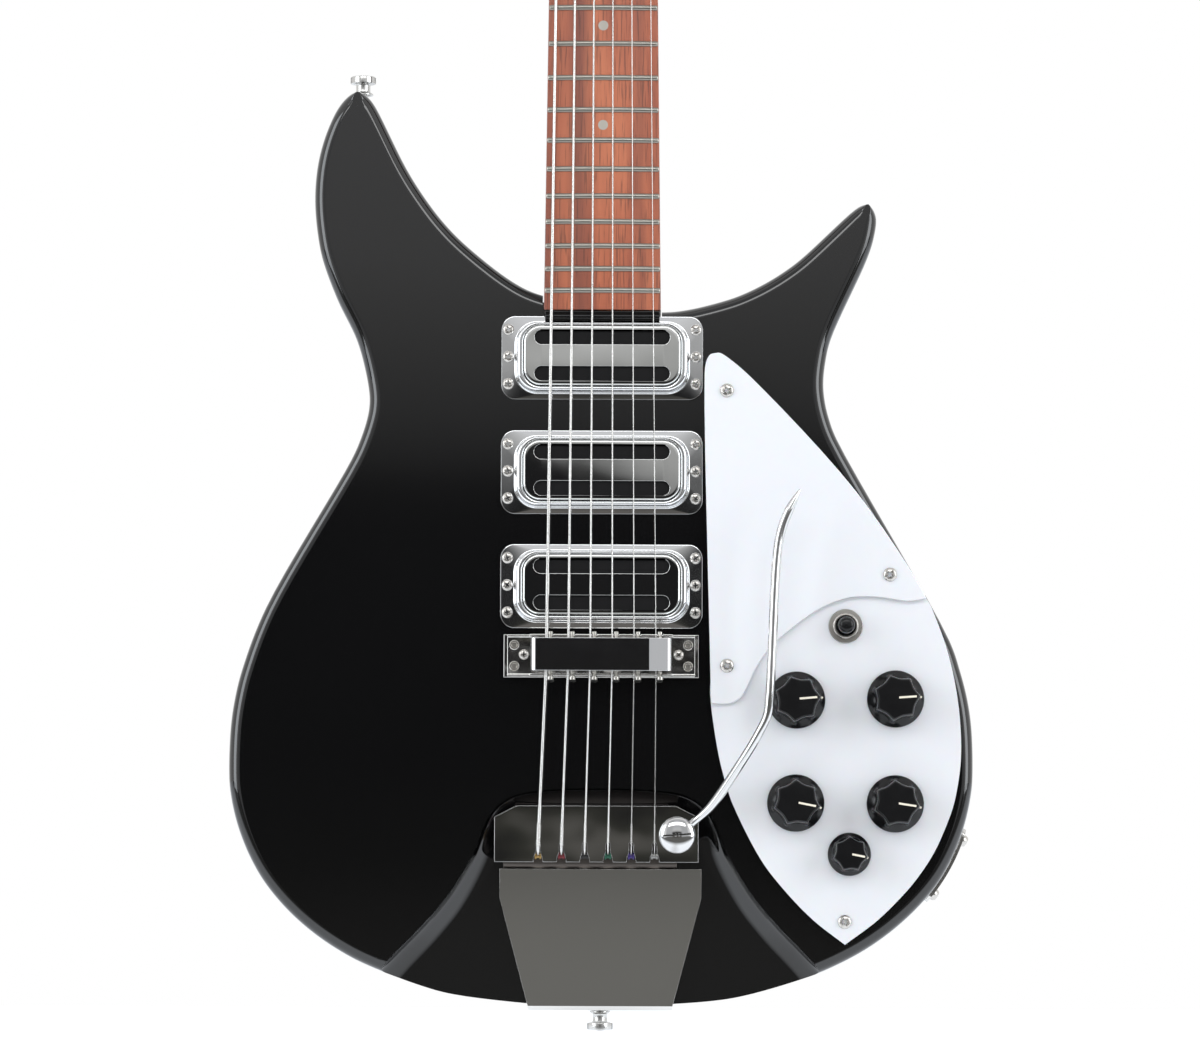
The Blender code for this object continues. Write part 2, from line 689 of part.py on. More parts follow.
# Tuners
def wheel_outline(turn):
    """Teeth of the wheel about (0, 0); at turn 0 a gap faces +y."""
    root = WHEEL_PITCH_RADIUS - TOOTH_DEDENDUM
    tip = WHEEL_PITCH_RADIUS + TOOTH_ADDENDUM
    out = []
    for tooth in range(WHEEL_TEETH):
        middle = math.radians(90) + math.tau * (tooth + 0.5) / WHEEL_TEETH + turn
        for radius, sign in ((root, -1), (tip, -1), (tip, 1), (root, 1)):
            angle = middle + sign * TOOTH_WIDTH / 2 / radius
            out.append((radius * math.cos(angle), radius * math.sin(angle)))
    return out


def build_tuners():
    pitch = math.tau * WHEEL_PITCH_RADIUS / WHEEL_TEETH
    centre_distance = WHEEL_PITCH_RADIUS + WORM_PITCH_RADIUS
    lead = math.atan(pitch / (math.tau * WORM_PITCH_RADIUS))
    plate_low = -HEAD_THICK - GAP - TUNER_PLATE_THICK
    plate_high = -HEAD_THICK - GAP
    middle = (POST_S[0] + POST_S[2]) / 2 + centre_distance / 2
    half_length = (POST_S[2] - POST_S[0]) / 2 + 17
    for side, name in ((-1, "bass"), (1, "treble")):
        centre = side * POST_X
        outline = round_rectangle(TUNER_PLATE_WIDTH / 2, half_length, 5, 2, (centre, middle))
        plate = add("tuner_plate_" + name, prism(outline, plate_low, plate_high), NICKEL,
                    head_frame)
        lugs = []
        for s in POST_S:
            for end in (-1, 1):
                x = centre + end * LUG_SPAN / 2
                lug_s = s + centre_distance
                lugs.append(block((x - LUG_THICK / 2, lug_s - 3, -AXLE_HEIGHT - 3),
                                  (x + LUG_THICK / 2, lug_s + 3, plate_low + 0.4)))
        join(plate, "lugs_" + name, together(*lugs), head_frame)
        bores = []
        for s in POST_S:
            bores.append(turned([(KEY_SHAFT + GAP + 0.2, -12), (KEY_SHAFT + GAP + 0.2, 12)], 6,
                                (centre, s + centre_distance, -AXLE_HEIGHT), (1, 0, 0)))
            bores.append(turned([(POST_RADIUS + GAP, plate_low - 3), (POST_RADIUS + GAP, 3)], 8,
                                (centre, s, 0)))
        cut(plate, "bores_" + name, together(*bores), head_frame)

    for number, radius in enumerate(STRING_RADII):
        side, x, s = post_place(number)
        label = 6 - number
        low = -AXLE_HEIGHT - WHEEL_THICK / 2
        high = -AXLE_HEIGHT + WHEEL_THICK / 2
        wrap = POST_RADIUS + 2 * radius
        turns_half = 3 * radius + 0.2
        profile = [(POST_RADIUS, low - 1.2), (POST_RADIUS, WRAP_HEIGHT - turns_half),
                   (wrap, WRAP_HEIGHT - turns_half),
                   (wrap, WRAP_HEIGHT + turns_half), (POST_RADIUS, WRAP_HEIGHT + turns_half),
                   (POST_RADIUS, POST_TOP)]
        post = add("tuner_post_%d" % label, turned(profile, 8, (x, s, 0)), NICKEL, head_frame,
                   pivot=(x, s, 0))
        slant = side * (WHEEL_THICK / 2) * math.tan(lead) / WHEEL_PITCH_RADIUS
        rings = []
        for z, turn in ((low, slant), (high, -slant)):
            rings.append([(x + px, s + py, z) for px, py in wheel_outline(turn)])
        join(post, "wheel_%d" % label, loft(rings), head_frame)

        axle = (x, s + centre_distance, -AXLE_HEIGHT)
        add("tuner_key_%d" % label, key_solid(axle, side), NICKEL, head_frame, pivot=axle)


def key_solid(axle, side):
    """Shaft, worm and button about the axle, which runs along x towards the side.

    The worm is one surface: four helical lines of points, two at the thread's foot and
    two at its crest, with the core showing between a turn's end and the next turn's start.
    """
    pitch = math.tau * WHEEL_PITCH_RADIUS / WHEEL_TEETH
    core = WORM_PITCH_RADIUS - TOOTH_DEDENDUM
    crest = WORM_PITCH_RADIUS + TOOTH_ADDENDUM
    foot_half, crest_half = 0.62, 0.27
    inner = LUG_SPAN / 2 - LUG_THICK / 2 - GAP
    outer = LUG_SPAN / 2 + LUG_THICK / 2
    sides = WORM_SIDES
    steps = round(WORM_TURNS * sides)
    points = []
    faces = []

    def spot(along, wide, thick, turn):
        points.append((axle[0] + side * along, axle[1] - wide * math.cos(turn),
                       axle[2] + thick * math.sin(turn)))
        return len(points) - 1

    def ring(along, wide, thick):
        return [spot(along, wide, thick, math.tau * k / sides) for k in range(sides)]

    def bridge(one, other):
        for k in range(sides):
            n = (k + 1) % sides
            faces.append((one[k], one[n], other[n], other[k]))

    def helix(offset, radius):
        return [spot(pitch * (k - steps / 2) / sides + offset, radius, radius,
                     math.tau * (k - steps / 2) / sides) for k in range(steps + 1)]

    lines = [helix(-foot_half, core), helix(-crest_half, crest), helix(crest_half, crest),
             helix(foot_half, core)]
    for one, other in zip(lines, lines[1:]):
        for k in range(steps):
            faces.append((one[k], one[k + 1], other[k + 1], other[k]))
    first, last = lines[0], lines[3]
    for k in range(steps - sides):
        faces.append((last[k], last[k + 1], first[k + 1 + sides], first[k + sides]))
    faces.append(tuple(line[0] for line in lines))
    faces.append(tuple(line[steps] for line in lines))

    near = ring(-inner, core, core)
    far = ring(inner, core, core)
    start = (-steps // 2) % sides
    for k in range(sides):
        here, following = (start + k) % sides, (start + k + 1) % sides
        low_face = [near[here], near[following], first[k + 1], first[k]]
        high_face = [far[following], far[here], last[steps - sides + k],
                     last[steps - sides + k + 1]]
        if k == sides - 1:
            low_face = [near[here], near[following], first[0], last[0], first[sides], first[k]]
        if k == 0:
            high_face = [far[following], far[here], last[steps], first[steps],
                         last[steps - sides], last[steps - sides + 1]]
        faces.append(tuple(low_face))
        faces.append(tuple(high_face))

    previous = near
    for along in (-inner, -outer - 1):
        step = ring(along, KEY_SHAFT, KEY_SHAFT)
        bridge(previous, step)
        previous = step
    faces.append(tuple(previous))
    previous = far
    for along, wide, thick in ((inner, KEY_SHAFT, KEY_SHAFT),) + BUTTON:
        step = ring(along, wide, thick)
        bridge(previous, step)
        previous = step
    faces.append(tuple(previous))
    return points, faces


# Pickups
def build_pickups():
    for number, y in enumerate(PICKUP_Y, 1):
        seat = FACE + GAP
        opening = (COVER[0] + GAP, COVER[1] + GAP)
        sections = ((0, 0, 6, seat), (0, 0, 6, seat + SHEET), (-6.1, -2.8, 8.2, seat + SHEET),
                    (-6.8, -3.4, 7.7, seat + 4.4), (-7.8, -4.3, 7, seat + 6.2))
        rings = [at_height(round_rectangle(BEZEL[0] + dx, BEZEL[1] + dy, r, 2, (0, y)), z)
                 for dx, dy, r, z in sections]
        for z in (seat + 6.5, seat):
            rings.append(at_height(round_rectangle(*opening, COVER_CORNER + GAP, 2, (0, y)), z))
        add("pickup_bezel_%d" % number, loft(rings, closed=True), CHROME)

        bottom = FACE - 6
        rings = [at_height(round_rectangle(COVER[0] - d, COVER[1] - d, COVER_CORNER - d, 2, (0, y)), z)
                 for d, z in ((0, bottom), (0, COVER_TOP - 1.0), (0.9, COVER_TOP))]
        cover = add("pickup_cover_%d" % number, loft(rings), CHROME)
        inside = round_rectangle(COVER[0] - 0.8, COVER[1] - 0.8, COVER_CORNER - 0.8, 2, (0, y))
        cut(cover, "cover_hollow_%d" % number, prism(inside, bottom - 1, COVER_TOP - 1.2))
        slots = [prism(round_rectangle(SLOT_LENGTH / 2, SLOT_WIDTH / 2, SLOT_WIDTH / 2 - 0.01, 2,
                                       (0, y + end * SLOT_SPACING / 2)),
                       COVER_TOP - 2, COVER_TOP + 1) for end in (-1, 1)]
        cut(cover, "cover_slots_%d" % number, together(*slots))

        top = COVER_TOP - 1.2 - GAP
        flange = (COVER[0] - 2, COVER[1] - 1.6)
        waist = (flange[0] - 2.2, flange[1] - 2.2)
        rings = [at_height(round_rectangle(*half, 3, 1, (0, y)), z)
                 for half, z in ((flange, POCKET_FLOOR + GAP), (flange, POCKET_FLOOR + 2.3),
                                 (waist, POCKET_FLOOR + 2.3), (waist, top - 2),
                                 (flange, top - 2), (flange, top))]
        add("pickup_coil_%d" % number, loft(rings), BLACK_PLASTIC)


# Bridge
def build_bridge():
    half_x, half_y = BRIDGE_HALF
    wall = 1.0
    foot = FACE + GAP
    y0 = BRIDGE_CENTRE_Y
    tray = [(y0 - half_y + 0.3, TRAY_FLOOR - SHEET), (y0 + half_y - 0.3, TRAY_FLOOR - SHEET),
            (y0 + half_y - 0.3, TRAY_WALL_TOP), (y0 + half_y - 0.3 - wall, TRAY_WALL_TOP),
            (y0 + half_y - 0.3 - wall, TRAY_FLOOR), (y0 - half_y + 0.3 + wall, TRAY_FLOOR),
            (y0 - half_y + 0.3 + wall, TRAY_WALL_TOP), (y0 - half_y + 0.3, TRAY_WALL_TOP)]
    base = add("bridge_base", bar(tray, -half_x + 1.6, half_x - 1.6), CHROME)
    notches = []
    for number in range(6):
        x = string_x(number, SPREAD_AT_BRIDGE) + SCREW_OFFSET
        notches.append(block((x - 1.1, y0 - half_y - 2, SADDLE_SCREW_Z - 1.1),
                             (x + 1.1, y0 + half_y + 2, TRAY_WALL_TOP + 2)))
    cut(base, "screw_notches", together(*notches))
    step_x = COVER_HALF_WIDTH + 1.9
    ends = [block((low_x, y0 - half_y - 2, TRAY_FLOOR + 1.6),
                  (low_x + half_x, y0 + half_y + 2, TRAY_WALL_TOP + 2))
            for low_x in (step_x, -step_x - half_x)]
    cut(base, "lowered_walls", together(*ends))
    under_plate = block((-half_x, y0 - half_y, foot), (half_x, y0 + half_y, foot + 1))
    join(base, "under_plate", under_plate)
    for number, (sx, sy) in enumerate(((-1, -1), (1, -1), (-1, 1), (1, 1)), 1):
        post = turned([(2.2, foot + 0.5), (2.2, TRAY_FLOOR + 1.0)], 8,
                      (sx * HEIGHT_POST[0], y0 + sy * HEIGHT_POST[1], 0))
        join(base, "height_post_%d" % number, post)

    for number, radius in enumerate(STRING_RADII):
        x = string_x(number, SPREAD_AT_BRIDGE)
        y = saddle_y(number)
        z = saddle_string_z(number) - radius - GAP
        axis_x = x + SCREW_OFFSET
        low = TRAY_FLOOR + GAP
        half = 3.9

        def shank(radius_here, place):
            return [(axis_x + radius_here * math.cos(a), place,
                     SADDLE_SCREW_Z + radius_here * math.sin(a))
                    for a in (math.tau * k / 6 for k in range(6))]

        def saddle(place, drop):
            top = z - drop
            return [(x + half, place, low), (x + half, place, top + 0.3), (x, place, top),
                    (x - half, place, top + 0.3), (x - half, place, low), (x, place, low)]

        rings = [shank(1.5, y0 - half_y - 2.2), shank(1.5, y0 - half_y - 0.9),
                 shank(0.8, y0 - half_y - 0.9), shank(0.8, y - 3.2), saddle(y - 3.2, 1.2),
                 saddle(y, 0), saddle(y + 3.2, 1.2), shank(0.8, y + 3.2),
                 shank(0.8, y0 + half_y + 0.9), shank(1.3, y0 + half_y + 0.9),
                 shank(1.3, y0 + half_y + 2.2)]
        add("saddle_%d" % (6 - number), loft(rings), NICKEL)

    bend = 2.2
    foot_z = TRAY_FLOOR + GAP
    outer = COVER_HALF_WIDTH + SHEET
    top = COVER_CEILING + SHEET
    arc = [math.radians(90) * k / 3 for k in range(4)]
    profile = [(outer, foot_z)]
    profile += [(outer - bend + bend * math.cos(a), top - bend + bend * math.sin(a)) for a in arc]
    profile += [(-outer + bend - bend * math.sin(a), top - bend + bend * math.cos(a)) for a in arc]
    profile += [(-outer, foot_z), (-COVER_HALF_WIDTH, foot_z)]
    inner = bend - SHEET
    profile += [(-COVER_HALF_WIDTH + inner - inner * math.cos(a),
                 COVER_CEILING - inner + inner * math.sin(a)) for a in arc]
    profile += [(COVER_HALF_WIDTH - inner + inner * math.sin(a),
                 COVER_CEILING - inner + inner * math.cos(a)) for a in arc]
    profile.append((COVER_HALF_WIDTH, foot_z))
    rings = [[(x, y, z) for x, z in profile] for y in (y0 - 7.0, y0 + 7.0)]
    add("bridge_cover", loft(rings), CHROME)


# Vibrato tailpiece
def build_tailpiece():
    half = 4.8                     # skirt depth of the cover
    top_z = COVER_TOP_Z
    tail_z = scoop_floor(0) + GAP + half
    wide, narrow, tip = TAIL_HALF_WIDTH, 30.9, 24.0
    bend = 3.0
    face_y = -GAP - SHEET
    stations = [(COVER_EDGE_Y, top_z, wide, half, 0), (46.3, None, wide, half, 0),
                (bend + face_y, tail_z, narrow, half * 0.9, 0)]
    for k in (1, 2, 3):
        angle = math.radians(90) * k / 3
        stations.append((face_y + bend * (1 - math.sin(angle)),
                         tail_z - bend * (1 - math.cos(angle)), narrow, 1.6, angle))
    stations += [(face_y, -7, narrow - 2, 1.6, math.radians(90)),
                 (face_y, -10.5, tip, 1.6, math.radians(90))]
    rings = []
    for y, z, width, depth, angle in stations:
        if z is None:
            share = (y - bend - face_y) / (COVER_EDGE_Y - bend - face_y)
            z = tail_z + (top_z - tail_z) * share
        inward = Vector((0, math.sin(angle), -math.cos(angle)))
        spot = Vector((0, y, z))

        def corner(x, level):
            return tuple(spot + inward * level + Vector((x, 0, 0)))

        rings.append([corner(-width, depth), corner(-width, 0), corner(width, 0),
                      corner(width, depth), corner(width - SHEET, depth),
                      corner(width - SHEET, SHEET), corner(-width + SHEET, SHEET),
                      corner(-width + SHEET, depth)])
    base = add("tailpiece_base", loft(rings), CHROME)
    cut(base, "strap_hole", turned([(STRAP_SCREW + GAP, -6), (STRAP_SCREW + GAP, 6)], 8,
                                   (0, 0, 0), (0, 1, 0)))

    thick = 1.5
    plate = add("vibrato_plate", prism(STRING_PLATE, PLATE_TOP - thick, PLATE_TOP), CHROME,
                pivot=(0, ROCK_Y, ROCK_Z))
    right_x, front_y = STRING_PLATE[3]
    left_x = STRING_PLATE[4][0]
    lip = block((left_x, front_y - SHEET, SPRING_TOP + GAP), (right_x, front_y, PLATE_TOP - 0.5))
    join(plate, "front_lip", lip)
    notches = []
    for number in range(6):
        x = string_x(number, SPREAD_AT_TAIL) + TAIL_ASIDE
        outline = ((x - 2.4, 60), (x + 2.4, 60), (x + 2.0, 64.0), (x + 1.0, 66.4),
                   (x + 1.0, 70.0), (x - 1.0, 70.0), (x - 1.0, 66.4), (x - 2.0, 64.0))
        notches.append(prism(outline, PLATE_TOP - 4, PLATE_TOP + 2))
    notches.append(prism(circle(SCREW_SHANK + GAP, 10, ARM_PIVOT), PLATE_TOP - 4, PLATE_TOP + 2))
    cut(plate, "string_notches", together(*notches))

    thin = 1.1
    low = SPRING_TOP - thin
    drop = 1.9
    rings = []
    clamped_y = ROCK_Y - 24
    for x, start, end in ((-wide + SHEET + GAP, clamped_y + 16, front_y - 11.4),
                          (left_x, clamped_y, front_y), (right_x - 4, clamped_y, front_y),
                          (right_x + 0.4, clamped_y, front_y - 3.4)):
        rings.append([(x, start, low - drop), (x, ROCK_Y - 2.5, low - drop),
                      (x, ROCK_Y + 2.5, low), (x, end, low), (x, end, SPRING_TOP),
                      (x, ROCK_Y + 2.2, SPRING_TOP), (x, ROCK_Y - 2.8, SPRING_TOP - drop),
                      (x, start, SPRING_TOP - drop)])
    add("vibrato_spring", loft(rings), STEEL)

    seat = PLATE_TOP + GAP
    eye = 2.7
    pivot = (*ARM_PIVOT, seat)
    rings = []
    for radius, z in ((6.6, seat), (6.6, seat + eye), (SCREW_SHANK + GAP, seat + eye),
                      (SCREW_SHANK + GAP, seat)):
        rings.append(at_height(circle(radius, 12, ARM_PIVOT), z))
    route = spline(ARM_ROUTE, 2)
    radii = [1.3, 1.3, 1.3, 1.7] + [ROD_RADIUS] * (len(route) - 7) + [1.7, 1.35, 0.9]
    arm = add("vibrato_arm", rod(route, radii, 6), CHROME, pivot=pivot)
    join(arm, "arm_eye", loft(rings, closed=True))
    head = seat + eye + GAP
    screw = [(4.4, PLATE_TOP - thick - GAP - 2.4), (4.4, PLATE_TOP - thick - GAP),
             (SCREW_SHANK, PLATE_TOP - thick - GAP), (SCREW_SHANK, head), (7.7, head),
             (7.7, head + 0.9), (6.2, head + 2.8), (3.2, head + 3.7)]
    arm_screw = add("arm_screw", turned(screw, 14, (*ARM_PIVOT, 0)), CHROME,
                    pivot=(0, ROCK_Y, ROCK_Z))
    cut(arm_screw, "screw_slot", block((ARM_PIVOT[0] - 6, ARM_PIVOT[1] - 0.55, head + 2.4),
                                       (ARM_PIVOT[0] + 6, ARM_PIVOT[1] + 0.55, head + 5)))


# Pickguard and controls
def build_pickguard():
    low = FACE + GAP
    lower = add("pickguard_lower", prism(lower_sheet_outline(), low, low + GUARD_THICK), ACRYLIC)
    holes = [prism(circle(POT_BUSHING + GAP, 10, spot), low - 2, low + 5)
             for spot in BIG_KNOBS + (SMALL_KNOB,)]
    holes.append(prism(circle(TOGGLE_BUSHING + GAP, 12, TOGGLE), low - 2, low + 5))
    cut(lower, "control_holes", together(*holes))

    raised = low + GUARD_THICK + GAP
    upper = add("pickguard_upper", prism(upper_sheet_outline(), raised, raised + GUARD_THICK),
                ACRYLIC)
    spacers = [prism(circle(3.2, 10, spot), low, raised + 1) for spot in GUARD_SPACERS]
    join(upper, "spacers", together(*spacers))


def build_controls():
    spots = BIG_KNOBS + (SMALL_KNOB,)
    shield = clip(inset(control_opening(), 1.5), (0, TOGGLE[1] - LEAF_FRAME[1] - 2.5), (0, -1))
    plate = add("pot_plate", prism(shield, POT_TOP - 0.6, POT_TOP + 0.6), ZINC)
    cans = [turned([(POT_RADIUS, POT_TOP - POT_DEPTH), (POT_RADIUS, POT_TOP),
                    (POT_BUSHING, POT_TOP), (POT_BUSHING, KNOB_RECESS - 1.2)],
                   8, (*spot, 0)) for spot in spots]
    join(plate, "pot_cans", together(*cans))
    bores = [prism(circle(SHAFT_RADIUS + GAP + 0.2, 6, spot), SHAFT_END - GAP, KNOB_RECESS + 2)
             for spot in spots]
    cut(plate, "shaft_bores", together(*bores))

    names = ("knob_upper_left", "knob_upper_right", "knob_lower_left", "knob_lower_right",
             "knob_small")
    for name, spot, rest in zip(names, spots, KNOB_REST):
        big = name != "knob_small"
        skirt = 12.2 if big else 9.2
        cusp, flute = skirt * 0.85, skirt * 0.72
        height = 14.5 if big else 12.5
        turn = math.radians(rest)
        count = KNOB_FLUTES * 2

        def fluted(scale, z):
            ring = []
            for k in range(count):
                reach = cusp if k % 2 == 0 else flute
                angle = math.tau * k / count + turn
                ring.append((spot[0] + reach * scale * math.cos(angle),
                             spot[1] + reach * scale * math.sin(angle), z))
            return ring

        def ring(radius, z):
            return at_height(circle(radius, count, spot, turn), z)

        rings = [ring(SHAFT_RADIUS, SHAFT_END), ring(SHAFT_RADIUS, KNOB_RECESS),
                 ring(skirt - 4.4, KNOB_RECESS), ring(skirt - 1.2, KNOB_BOTTOM),
                 ring(skirt, KNOB_BOTTOM), ring(skirt, KNOB_BOTTOM + 1.2),
                 fluted(1.0, KNOB_BOTTOM + 3.6),
                 fluted(0.95, KNOB_BOTTOM + height - 0.8), fluted(0.88, KNOB_BOTTOM + height)]
        add(name, loft(rings), BLACK_PLASTIC, pivot=(*spot, KNOB_BOTTOM), sharp=40)

    low = FACE + GAP + GUARD_THICK + GAP
    bushing = [(TOGGLE_BUSHING, FACE - 3), (TOGGLE_BUSHING, low), (6.9, low), (6.9, low + 0.9),
               (5.4, low + 0.9), (5.4, low + 3.2), (4.3, low + 3.2), (4.3, FACE - 1)]
    rings = [at_height(circle(radius, 12, TOGGLE), z) for radius, z in bushing]
    switch = add("toggle_switch", loft(rings), NICKEL)
    half_x, half_y = LEAF_FRAME
    leaf_frame = block((TOGGLE[0] - half_x, TOGGLE[1] - half_y, FACE - 21),
                       (TOGGLE[0] + half_x, TOGGLE[1] + half_y, FACE - 2.4))
    join(switch, "leaf_frame", leaf_frame)
    well = prism(circle(4.3, 12, TOGGLE), FACE - 8, FACE + 1)
    cut(switch, "lever_well", well)
    lever = [(1.1, FACE - 5), (1.5, FACE + 1), (1.5, low + 4.0), (3.0, low + 6.2),
             (3.6, low + 8.8), (3.2, low + 11.0), (1.6, low + 12.2)]
    add("toggle_lever", turned(lever, 10, (*TOGGLE, 0)), BLACK_PLASTIC,
        pivot=(*TOGGLE, FACE + 1))


# Jack plate and strap buttons
def build_hardware():
    centre = Vector((*JACK_CENTRE, 0))
    normal = Vector((*JACK_NORMAL, 0)).normalized()
    along = Vector((-normal.y, normal.x, 0))
    near = []
    for x, y in body_outline:
        place = Vector((x, y, 0)) - centre
        if x > 0 and place.length < PLATE_HALF_LENGTH + 14:
            near.append((place.dot(along), place.dot(normal)))
    near.sort()

    def rim(distance):
        for (a, first), (b, second) in zip(near, near[1:]):
            if a <= distance <= b:
                return first + (second - first) * (distance - a) / (b - a)
        return near[-1][1]

    rings = []
    for k in range(-4, 5):
        distance = PLATE_HALF_LENGTH * k / 4
        base = rim(distance)
        height = PLATE_HALF_HEIGHT - (1.6 if abs(k) == 4 else 0)
        ring = []
        for level, z in ((GAP, -height), (GAP, height), (GAP + SHEET, height),
                         (GAP + SHEET, -height)):
            point = centre + along * distance + normal * (base + level)
            ring.append((point.x, point.y, JACK_Z + z))
        rings.append(ring)
    jack = add("output_jack", loft(rings), CHROME)
    mouth = Vector((*JACK_CENTRE, JACK_Z)) + normal * rim(0)
    dish, depth = JACK_DISH
    sleeve = turned([(JACK_SLEEVE, -24), (JACK_SLEEVE, -depth - SHEET),
                     (dish + SHEET, -depth - SHEET), (dish + SHEET, 1)], 14, mouth, normal)
    join(jack, "jack_sleeve", sleeve)
    cut(jack, "jack_dish", turned([(dish, -depth), (dish, 6)], 14, mouth, normal))
    join(jack, "jack_nut", turned([(5.0, -depth - 0.5), (5.0, -1.2)], 6, mouth, normal))
    cut(jack, "jack_bore", turned([(JACK_BORE, -22), (JACK_BORE, 6)], 12, mouth, normal))

    def button(name, seat, axis):
        profile = [(STRAP_SCREW, -16), (STRAP_SCREW, GAP), (4.4, GAP), (4.4, 1.2), (3.1, 1.8),
                   (3.1, 5.2), (5.5, 5.4), (5.5, 8.5)]
        add(name, turned(profile, 10, seat, axis), CHROME)

    button("strap_button_end", (0, -GAP - SHEET, 0), (0, -1, 0))
    button("strap_button_horn", (*HORN_TIP, 0), (0, 1, 0))


build_body()
build_neck()
build_fretboard()
build_nut()
build_strings()
build_tuners()
build_pickups()
build_bridge()
build_tailpiece()
build_pickguard()
build_controls()
build_hardware()
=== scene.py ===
import math

import bmesh
import bpy
from mathutils import Matrix, Vector


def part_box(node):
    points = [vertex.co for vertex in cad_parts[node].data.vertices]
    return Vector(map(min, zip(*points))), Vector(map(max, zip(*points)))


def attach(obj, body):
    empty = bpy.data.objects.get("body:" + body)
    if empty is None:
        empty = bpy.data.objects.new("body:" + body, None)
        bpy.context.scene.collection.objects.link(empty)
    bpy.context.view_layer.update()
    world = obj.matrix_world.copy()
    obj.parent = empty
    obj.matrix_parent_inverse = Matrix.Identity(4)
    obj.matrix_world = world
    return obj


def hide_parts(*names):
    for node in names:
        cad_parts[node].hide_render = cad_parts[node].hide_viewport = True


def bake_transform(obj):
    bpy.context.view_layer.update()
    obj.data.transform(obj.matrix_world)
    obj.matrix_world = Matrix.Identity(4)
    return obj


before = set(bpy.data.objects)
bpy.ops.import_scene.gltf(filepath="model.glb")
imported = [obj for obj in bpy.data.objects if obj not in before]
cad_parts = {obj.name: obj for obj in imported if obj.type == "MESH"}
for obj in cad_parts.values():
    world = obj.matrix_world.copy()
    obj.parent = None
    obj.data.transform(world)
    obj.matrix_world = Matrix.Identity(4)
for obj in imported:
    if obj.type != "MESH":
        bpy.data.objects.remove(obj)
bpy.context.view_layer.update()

# Body. Two maple shells round a solid middle, glued along the back's seam, sprayed black
# and polished as one skin. The tail is carved down to a horseshoe under the tailpiece, and
# the neck's tongue and the three pickups sit in pockets.
MM = 0.001
STAND = Matrix.Rotation(math.radians(90), 4, "X") @ Matrix.Scale(MM, 4)
EDGE_RADIUS = 5.0
SCOOP_EDGE = ((122, -24), (92.6, 17), (74.6, 36), (64, 49), (53.5, 67), (50, 76),
              (45.5, 84), (37, 89.8), (20, 92.5), (0, 93))
SCOOP_DEPTH_AT_TAIL = 8.0
SCOOP_DEPTH_AT_ARCH = 4.5
SCOOP_FILLET = 10.0
ABOVE = 4.0  # how far the cutters stand out of the face
CLEARANCE = 0.3
TENON_HALF = 25.6
TENON_POCKET = (261.7, 330.0, -10.3)
PICKUP_POCKET_GAP = (2.3, 1.2)
PICKUP_POCKET_FLOOR = 2.5
JACK_CENTRE = (149.6, 59.8)
JACK_NORMAL = Vector((0.866, -0.5, 0)).normalized()
JACK_Z = 1.0
JACK_HOLE_RADIUS = 8.5
LACQUER_BLACK = (0.003, 0.003, 0.0032)


def flat_box(node):
    """Corners of a CAD node laid flat: x across, y up the neck, z out of the face, in mm."""
    low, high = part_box(node)
    return (Vector((low[0], low[2], -high[1])) / MM, Vector((high[0], high[2], -low[1])) / MM)


def feed(node, sockets):
    """Link or set a node's sockets, given as pairs of a socket and its source or value."""
    for socket, source in sockets:
        if isinstance(source, bpy.types.NodeSocket):
            node.id_data.links.new(source, node.inputs[socket])
        else:
            node.inputs[socket].default_value = source
    return node


def adder(tree):
    """A shorthand that adds a node of a kind to a tree, sets it up and feeds its sockets."""
    def add(kind, sockets=(), **settings):
        made = tree.nodes.new(kind)
        for key, value in settings.items():
            setattr(made, key, value)
        return feed(made, sockets)

    return add


def mapped(add, value, low, high, start=0.0, end=1.0):
    """Map a value that runs from low to high onto start to end."""
    return add("ShaderNodeMapRange", [("Value", value), ("From Min", low), ("From Max", high),
                                      ("To Min", start), ("To Max", end)]).outputs["Result"]


def shader_of(finish):
    return finish.node_tree.nodes["Principled BSDF"]


def new_finish(name):
    """A new material, with the shorthand for its nodes."""
    made = bpy.data.materials.new(name)
    made.use_nodes = True
    return made, adder(made.node_tree)


def surface(name, colour, roughness, metallic=0.0, coat=0.0, wear=0.02, patch=60.0,
            grain=1500.0, relief=0.01):
    """A finish whose roughness wanders in patches, with a fine relief."""
    made, add = new_finish(name)
    place = add("ShaderNodeTexCoord").outputs["Object"]
    patches = add("ShaderNodeTexNoise", [("Scale", patch), ("Detail", 4), ("Vector", place)])
    fine = add("ShaderNodeTexNoise", [("Scale", grain), ("Vector", place)])
    bump = add("ShaderNodeBump", [("Strength", relief), ("Distance", 0.0002),
                                  ("Height", fine.outputs["Fac"])])
    feed(shader_of(made), [
        ("Base Color", (*colour, 1)), ("Metallic", metallic), ("Coat Weight", coat),
        ("Coat Roughness", 0.03), ("Normal", bump.outputs["Normal"]),
        ("Roughness", mapped(add, patches.outputs["Fac"], 0.0, 1.0, max(roughness - wear, 0.01),
                             roughness + wear))])
    return made


